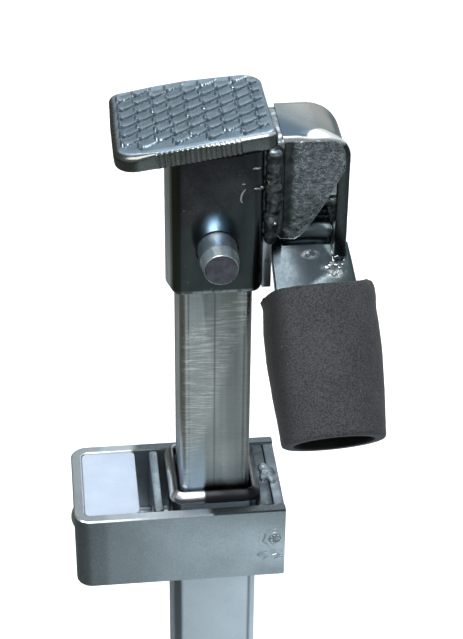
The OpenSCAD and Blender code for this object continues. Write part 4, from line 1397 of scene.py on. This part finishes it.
def build_push_pin():
    """Turned pin: straight body, long taper, small edge break and a slightly dished end."""
    place = placed((0, 0, PIN_Z), (0, -1, 0))
    profile = [(0.0, 6.3), (2.8, 6.3), (3.0, 6.5), (3.0, 8.5), (8.8, 8.5), (9.0, 8.7), (9.0, 10.3),
               (8.8, 10.5), (6.85, 10.5), (6.85, 23.7), (6.8, 24.0), (6.62, 24.5), (5.95, 28.5),
               (5.86, 28.78), (5.7, 28.9), (5.6, 28.9), (5.5, 28.85), (0.0, 28.8)]
    pin = lathe("push_pin_body", profile, 72, place)
    finish_piece(pin, "push_pin", MATERIALS["pin_zinc"], ["push_pin"], 25)
    end = [(0.0, 29.0), (5.3, 29.0), (5.62, 28.95), (5.66, 28.85), (0.0, 28.7)]
    tip = lathe("push_pin_end", end, 64, place)
    finish_piece(tip, "push_pin", MATERIALS["pin_end"], (), 60)
    # A near-black ring round the pin where it leaves the sleeve: painted shade in the gap.
    ring = [(7.0, 15.7), (7.0, 15.93), (7.35, 15.95), (7.5, 15.9), (7.5, 15.7)]
    gap_shade = lathe("pin_gap_shade", ring, 72, place, closed=True)
    finish_piece(gap_shade, "plunger", MATERIALS["painted_shade_black"], (), 60)


def build_small_pins():
    """Hidden pins and plugs, with their edges broken."""
    pieces = (("foot_pin", "outer", "zinc_bright"), ("end_plug", "outer", "steel_dark"),
              ("spring_seat", "outer", "zinc_bright"), ("guide_plug", "plunger", "nylon"),
              ("guide_plug_pin", "plunger", "zinc_bright"), ("tube_top_cap", "plunger", "black_plastic"),
              ("hinge_pin", "plunger", "zinc_bright"), ("stop_pin", "plunger", "zinc_bright"),
              ("peg_core", "peg", "steel_dark"))
    for node, body, slot in pieces:
        piece = from_cad(node + "_body", node, 0.2)
        finish_piece(piece, body, MATERIALS[slot], [node])


# ---- Peg ----

def peg_matrix():
    """From the hanging peg's frame, pivot at the origin, to the model's frame, in metres."""
    turn = Matrix.Rotation(-PEG_SWING, 4, "X")
    lean = Matrix.Rotation(-PEG_LEAN, 4, "Y")
    return Matrix.Translation(PEG_PIVOT * MM) @ turn @ lean


def build_arm():
    arm = from_cad("peg_arm_plate", "peg_arm", 0.7, 3)
    finish_piece(arm, "peg", MATERIALS["arm_zinc"], ["peg_arm"])


def build_arm_burr():
    """Bright ragged metal across the arm's shoulder, below the strap's right leg."""
    parts = []
    for _ in range(15):
        s = 12.9 + 2.6 * RANDOM.random()
        place = (4.0 + 6.4 * RANDOM.random(), -2.4 - 0.2 * RANDOM.random(), -s)
        radii = (0.6 + 0.7 * RANDOM.random(), 0.35 + 0.3 * RANDOM.random(), 0.45 + 0.5 * RANDOM.random())
        parts.append(blob("chip", place, radii, 10))
    burr = join("arm_burr", parts)
    remesh(burr, 0.24, 1)
    displace(burr, lambda p: 0.10 * bumpy(p, 0.7, 4.0))
    burr.data.transform(peg_matrix())
    finish_piece(burr, "peg", MATERIALS["zinc_bright"], (), 50)


def build_rubber_sleeve():
    """Rubber hose end: bulged, with a torn upper rim and a round-edged mouth."""
    s0, s1 = 23.4, 75.4
    core, bore, recess = 12.0, 13.0, 14.0
    outer = [(s0, 17.6), (s0 + 0.25, 18.0), (s0 + 1.6, 18.6), (s0 + 4, 19.25), (s0 + 8, 19.75),
             (s0 + 12, 20.05), (s0 + 17, 20.05), (s0 + 22, 20.0), (s0 + 27, 19.75), (s0 + 32, 19.4),
             (s0 + 38, 18.95), (s0 + 44, 18.5), (s0 + 48, 18.2), (s0 + 50.6, 18.05), (s0 + 51.6, 17.75),
             (s0 + 51.95, 17.2)]
    mouth = [(s1, 16.4), (s1, 15.0), (s1 - 0.05, 14.0), (s1 - 0.35, 13.3), (s1 - 1.0, 13.02),
             (s1 - 4, bore), (s1 - 12, bore), (s1 - 21.9, bore), (s1 - 22.1, recess), (51.5, recess),
             (51.3, core), (44, core), (34, core), (s0 + 0.8, core + 0.05), (s0 + 0.15, core + 0.4),
             (s0, core + 1.0), (s0 - 0.05, 14.5)]
    dense = []
    for a, b in zip(outer, outer[1:]):
        count = max(1, int((b[0] - a[0]) / 0.8))
        dense += [(a[0] + (b[0] - a[0]) * k / count, a[1] + (b[1] - a[1]) * k / count) for k in range(count)]
    profile = [(r, -s) for s, r in dense + [outer[-1]] + mouth]
    sleeve = lathe("peg_rubber", profile, 144, None, closed=True)

    def shape(p):
        """Rim wear and soft unevenness, in the hanging frame: X to the right, -Y to the front."""
        s = -p.z
        r = math.hypot(p.x, p.y)
        if r < 0.01:
            return Vector((0, 0, 0))
        out = Vector((p.x / r, p.y / r, 0))
        around = math.atan2(p.y, p.x)
        top = 1 - smoothstep(s0 + 0.5, s0 + 5.0, s)
        outside = smoothstep(13.5, 16.5, r)
        move = out * (0.16 * bumpy(p, 9, 1.0) + 0.05 * bumpy(p, 2.2, 2.0)) * outside
        flap = math.exp(-((abs(around) - math.pi + 0.10) / 0.28) ** 2) * top * outside
        corner = math.exp(-(around / 0.75) ** 2) * (1 - smoothstep(s0 + 0.5, s0 + 9.0, s)) * outside
        notch = math.exp(-((around + 0.45) / 0.10) ** 2) * top * outside
        rise = 2.6 * abs(p.x / r) ** 2.5 * (1 - smoothstep(s0, s0 + 9.0, s)) * (0.55 if p.x < 0 else 1.0)
        rim = 0.35 * bumpy((around * 4, 0, 0), 1.0, 3.0) + 0.25 * bumpy((around * 14, 0, 0), 1.0, 5.0)
        move += out * (1.7 * flap * (0.8 + 0.6 * bumpy(p, 1.3, 9.0)) - 0.6 * notch + 1.62 * corner)
        move += Vector((0, 0, rise * smoothstep(11.5, 14.0, r)))
        drop = -1.6 * flap * smoothstep(s0 + 3, s0, s) + 0.5 * notch
        move += Vector((0, 0, drop + rim * top * outside * 0.7))
        return move
    warp(sleeve, shape)
    inside = [math.hypot(f.center.x, f.center.y) / MM < 13.9 for f in sleeve.data.polygons]
    sleeve.data.transform(peg_matrix())
    warp(sleeve, lambda p: Vector((min(0.0, 55.12 - p.x), 0, 0)))
    finish_piece(sleeve, "peg", MATERIALS["rubber"], ["rubber_sleeve"], 50)
    # The bore's faces take the near-black painted shade.
    sleeve.data.materials.append(MATERIALS["painted_shade_black"])
    for face, bore_face in zip(sleeve.data.polygons, inside):
        face.material_index = 1 if bore_face else 0


# ---- Marks on the sleeve ----

def scuff(points, width):
    """A thin raised sliver on the sleeve's front face."""
    y = -TUBE_HALF - 0.03
    rings = []
    for k, (x, z) in enumerate(points):
        a = points[max(k - 1, 0)]
        b = points[min(k + 1, len(points) - 1)]
        dx, dz = b[0] - a[0], b[1] - a[1]
        size = math.hypot(dx, dz)
        nx, nz = -dz / size, dx / size
        w = width * (0.35 + 0.65 * math.sin(math.pi * (k + 0.6) / (len(points) + 0.2)))
        rings.append([(x - nx * w, y + 0.06, z - nz * w), (x, y - 0.05, z),
                      (x + nx * w, y + 0.06, z + nz * w), (x, y + 0.12, z)])
    return loft("scuff", rings, True, True)


def build_scuffs():
    hook = [(9.3, 325.6), (8.7, 324.9), (8.1, 323.7), (7.8, 322.3), (7.9, 321.1), (8.4, 320.4)]
    dash = [(8.2, 327.6), (8.7, 327.65), (9.3, 327.6)]
    chip = [(11.7, 333.2), (12.5, 333.5), (13.3, 333.3), (14.2, 333.6)]
    marks = join("sleeve_scuffs", [scuff(hook, 0.42), scuff(dash, 0.30), scuff(chip, 0.4)])
    finish_piece(marks, "plunger", MATERIALS["zinc_bright"], (), 60)


# ---- Stage, light, camera ----

GROUND_TONES = [(0.05, (0.13, 0.135, 0.12)), (0.37, (0.20, 0.215, 0.21)), (0.45, (0.42, 0.46, 0.475)),
                (0.57, (0.66, 0.72, 0.74)), (0.66, (0.68, 0.75, 0.78)), (0.90, (0.28, 0.30, 0.31))]


def floor_disc(name, depth):
    """A wide round sheet just below the foot, in millimetres."""
    radius, rings, steps = 4.0, 24, 96
    verts = [(0, 0, -depth)]
    for i in range(1, rings + 1):
        r = radius / MM * (i / rings) ** 1.5
        verts += [(r * math.cos(2 * math.pi * k / steps), r * math.sin(2 * math.pi * k / steps), -depth)
                  for k in range(steps)]
    faces = [[0, 1 + k, 1 + (k + 1) % steps] for k in range(steps)]
    for i in range(rings - 1):
        base = 1 + i * steps
        faces += [[base + k, base + steps + k, base + steps + (k + 1) % steps, base + (k + 1) % steps]
                  for k in range(steps)]
    return make_object(name, verts, faces)


def pale_sheet(obj, glow):
    """Makes a sheet of the stage nearly white, and seen by the camera alone."""
    n = Nodes(obj.name)
    n.colour(n.ramp(n.noise(1.5, 3.0, 0.5), [(0.3, (0.90, 0.90, 0.905)), (0.7, (0.93, 0.93, 0.93))]))
    n.roughness(n.span(n.noise(40, 2.0, 0.5), 0.3, 0.7, 0.9, 0.8))
    n.shader.inputs["Specular IOR Level"].default_value = 0.1
    n.shader.inputs["Emission Color"].default_value = (1, 1, 1, 1)
    n.shader.inputs["Emission Strength"].default_value = glow
    obj.data.materials.append(n.material)
    obj.visible_diffuse = False
    obj.visible_glossy = False
    obj.visible_transmission = False
    obj.visible_shadow = False


def build_floor():
    """The pale floor and backdrop that are seen, and the grey ground that lights and reflections meet."""
    pale_sheet(floor_disc("floor", 0.05), 0.62)
    section = [(3900.0, -0.04), (4000.0, 20.0), (4100.0, 9000.0), (4105.0, 9000.0), (4005.0, 10.0)]
    pale_sheet(lathe("backdrop", section, 96, closed=True), 0.9)
    ground = floor_disc("grey_ground", 0.4)
    g = Nodes("grey_ground")
    sideways = g.span(g.axis("X"), -0.4, 0.4, smooth=False)
    g.colour(g.ramp(sideways, GROUND_TONES))
    g.roughness(g.span(g.noise(40, 2.0, 0.5), 0.3, 0.7, 0.95, 0.85))
    g.shader.inputs["Specular IOR Level"].default_value = 0.05
    ground.data.materials.append(g.material)
    ground.visible_camera = False
    ground.visible_shadow = False


def aim(obj, target):
    direction = Vector(target) - obj.location
    obj.rotation_euler = direction.to_track_quat("-Z", "Y").to_euler()


def softbox(name, location, target, size, power, colour=(1, 1, 1)):
    data = bpy.data.lights.new(name, "AREA")
    data.shape = "RECTANGLE"
    data.size, data.size_y = size
    data.energy = power
    data.color = colour
    obj = bpy.data.objects.new(name, data)
    bpy.context.scene.collection.objects.link(obj)
    obj.location = location
    aim(obj, target)


def sky(tree, height, stops):
    """Brightness by elevation, from straight down to straight up."""
    ramp = tree.nodes.new("ShaderNodeValToRGB")
    tree.links.new(height, ramp.inputs["Fac"])
    elements = ramp.color_ramp.elements
    elements[0].position, elements[0].color = stops[0][0], (*stops[0][1], 1)
    elements[1].position, elements[1].color = stops[-1][0], (*stops[-1][1], 1)
    for position, colour in stops[1:-1]:
        elements.new(position).color = (*colour, 1)
    return ramp.outputs["Color"]


def blend(tree, factor, a, b):
    mix = tree.nodes.new("ShaderNodeMix")
    mix.data_type = "RGBA"
    tree.links.new(factor, mix.inputs[0])
    tree.links.new(a, mix.inputs[6])
    tree.links.new(b, mix.inputs[7])
    return mix.outputs[2]


def spread(tree, value, low, high):
    node = tree.nodes.new("ShaderNodeMapRange")
    node.inputs["From Min"].default_value = low
    node.inputs["From Max"].default_value = high
    tree.links.new(value, node.inputs["Value"])
    return node.outputs["Result"]


def panel(location, azimuth, size, power):
    """An upright softbox, so that its right edge has one bearing at every height."""
    data = bpy.data.lights.new("key", "AREA")
    data.shape = "RECTANGLE"
    data.size, data.size_y = size
    data.energy = power
    obj = bpy.data.objects.new("key", data)
    bpy.context.scene.collection.objects.link(obj)
    obj.location = location
    obj.rotation_euler = (math.pi / 2, 0, -azimuth)


def build_lights():
    """A wide softbox high in front that ends just right of the middle, a weak top light, and a soft sky."""
    middle = (0.0, 0.0, 0.26)
    panel((-0.45, -0.78, 1.53), math.radians(30), (1.30, 1.3), 28.6)
    softbox("top", (-0.2, 0.9, 1.6), middle, (1.5, 0.9), 7, (0.95, 0.98, 1.0))
    world = bpy.data.worlds.new("studio")
    bpy.context.scene.world = world
    world.use_nodes = True
    tree = world.node_tree
    background = tree.nodes["Background"]
    coords = tree.nodes.new("ShaderNodeTexCoord")
    split = tree.nodes.new("ShaderNodeSeparateXYZ")
    tree.links.new(coords.outputs["Generated"], split.inputs["Vector"])
    height = spread(tree, split.outputs["Z"], -1.0, 1.0)
    zenith = (0.50, 0.54, 0.60)
    behind = sky(tree, height, [(0.48, (0.60, 0.62, 0.64)), (0.62, (0.75, 0.79, 0.83)),
                                (0.78, (0.80, 0.88, 0.95)), (0.90, (0.60, 0.66, 0.72)), (1.0, zenith)])
    before = sky(tree, height, [(0.48, (0.34, 0.36, 0.37)), (0.70, (0.30, 0.34, 0.37)),
                                (0.88, (0.36, 0.41, 0.45)), (1.0, zenith)])
    shade = sky(tree, height, [(0.48, (0.20, 0.19, 0.17)), (0.70, (0.13, 0.13, 0.12)),
                               (0.86, (0.22, 0.23, 0.24)), (1.0, zenith)])
    left = blend(tree, spread(tree, split.outputs["X"], -0.34, 0.02), shade, behind)
    whole = blend(tree, spread(tree, split.outputs["Y"], -0.25, 0.45), before, left)
    tree.links.new(whole, background.inputs["Color"])
    background.inputs["Strength"].default_value = 1.0


def build_camera():
    """The viewpoint: from above the near left, with heading, pitch and roll in radians."""
    heading, pitch, roll = 0.115, 0.603, -0.012
    level = math.cos(pitch)
    forward = Vector((math.sin(heading) * level, math.cos(heading) * level, -math.sin(pitch)))
    right = Vector((math.cos(heading), -math.sin(heading), 0))
    down = -right.cross(forward)
    turned_right = math.cos(roll) * right + math.sin(roll) * down
    turned_down = -math.sin(roll) * right + math.cos(roll) * down
    columns = Matrix((turned_right, -turned_down, -forward)).transposed()
    data = bpy.data.cameras.new("camera")
    data.sensor_fit = "VERTICAL"
    data.sensor_height = 36.0
    data.lens = data.sensor_height * FOCAL_PIXELS / IMAGE_HEIGHT
    data.clip_start = 0.01
    data.clip_end = 50
    obj = bpy.data.objects.new("camera", data)
    bpy.context.scene.collection.objects.link(obj)
    obj.matrix_world = Matrix.Translation(CAMERA_PLACE) @ columns.to_4x4()
    bpy.context.scene.camera = obj
    bpy.context.scene.view_settings.view_transform = "Standard"


build_camera()
build_lights()
build_floor()
build_tubes()
build_collar()
build_loop()
build_loop_welds()
build_bolts()
build_foot()
build_springs()
build_tread()
build_web()
build_strap()
build_cheek()
build_web_weld()
build_tread_weld()
build_leg_burr()
build_push_pin()
build_small_pins()
build_arm()
build_arm_burr()
build_rubber_sleeve()
build_scuffs()
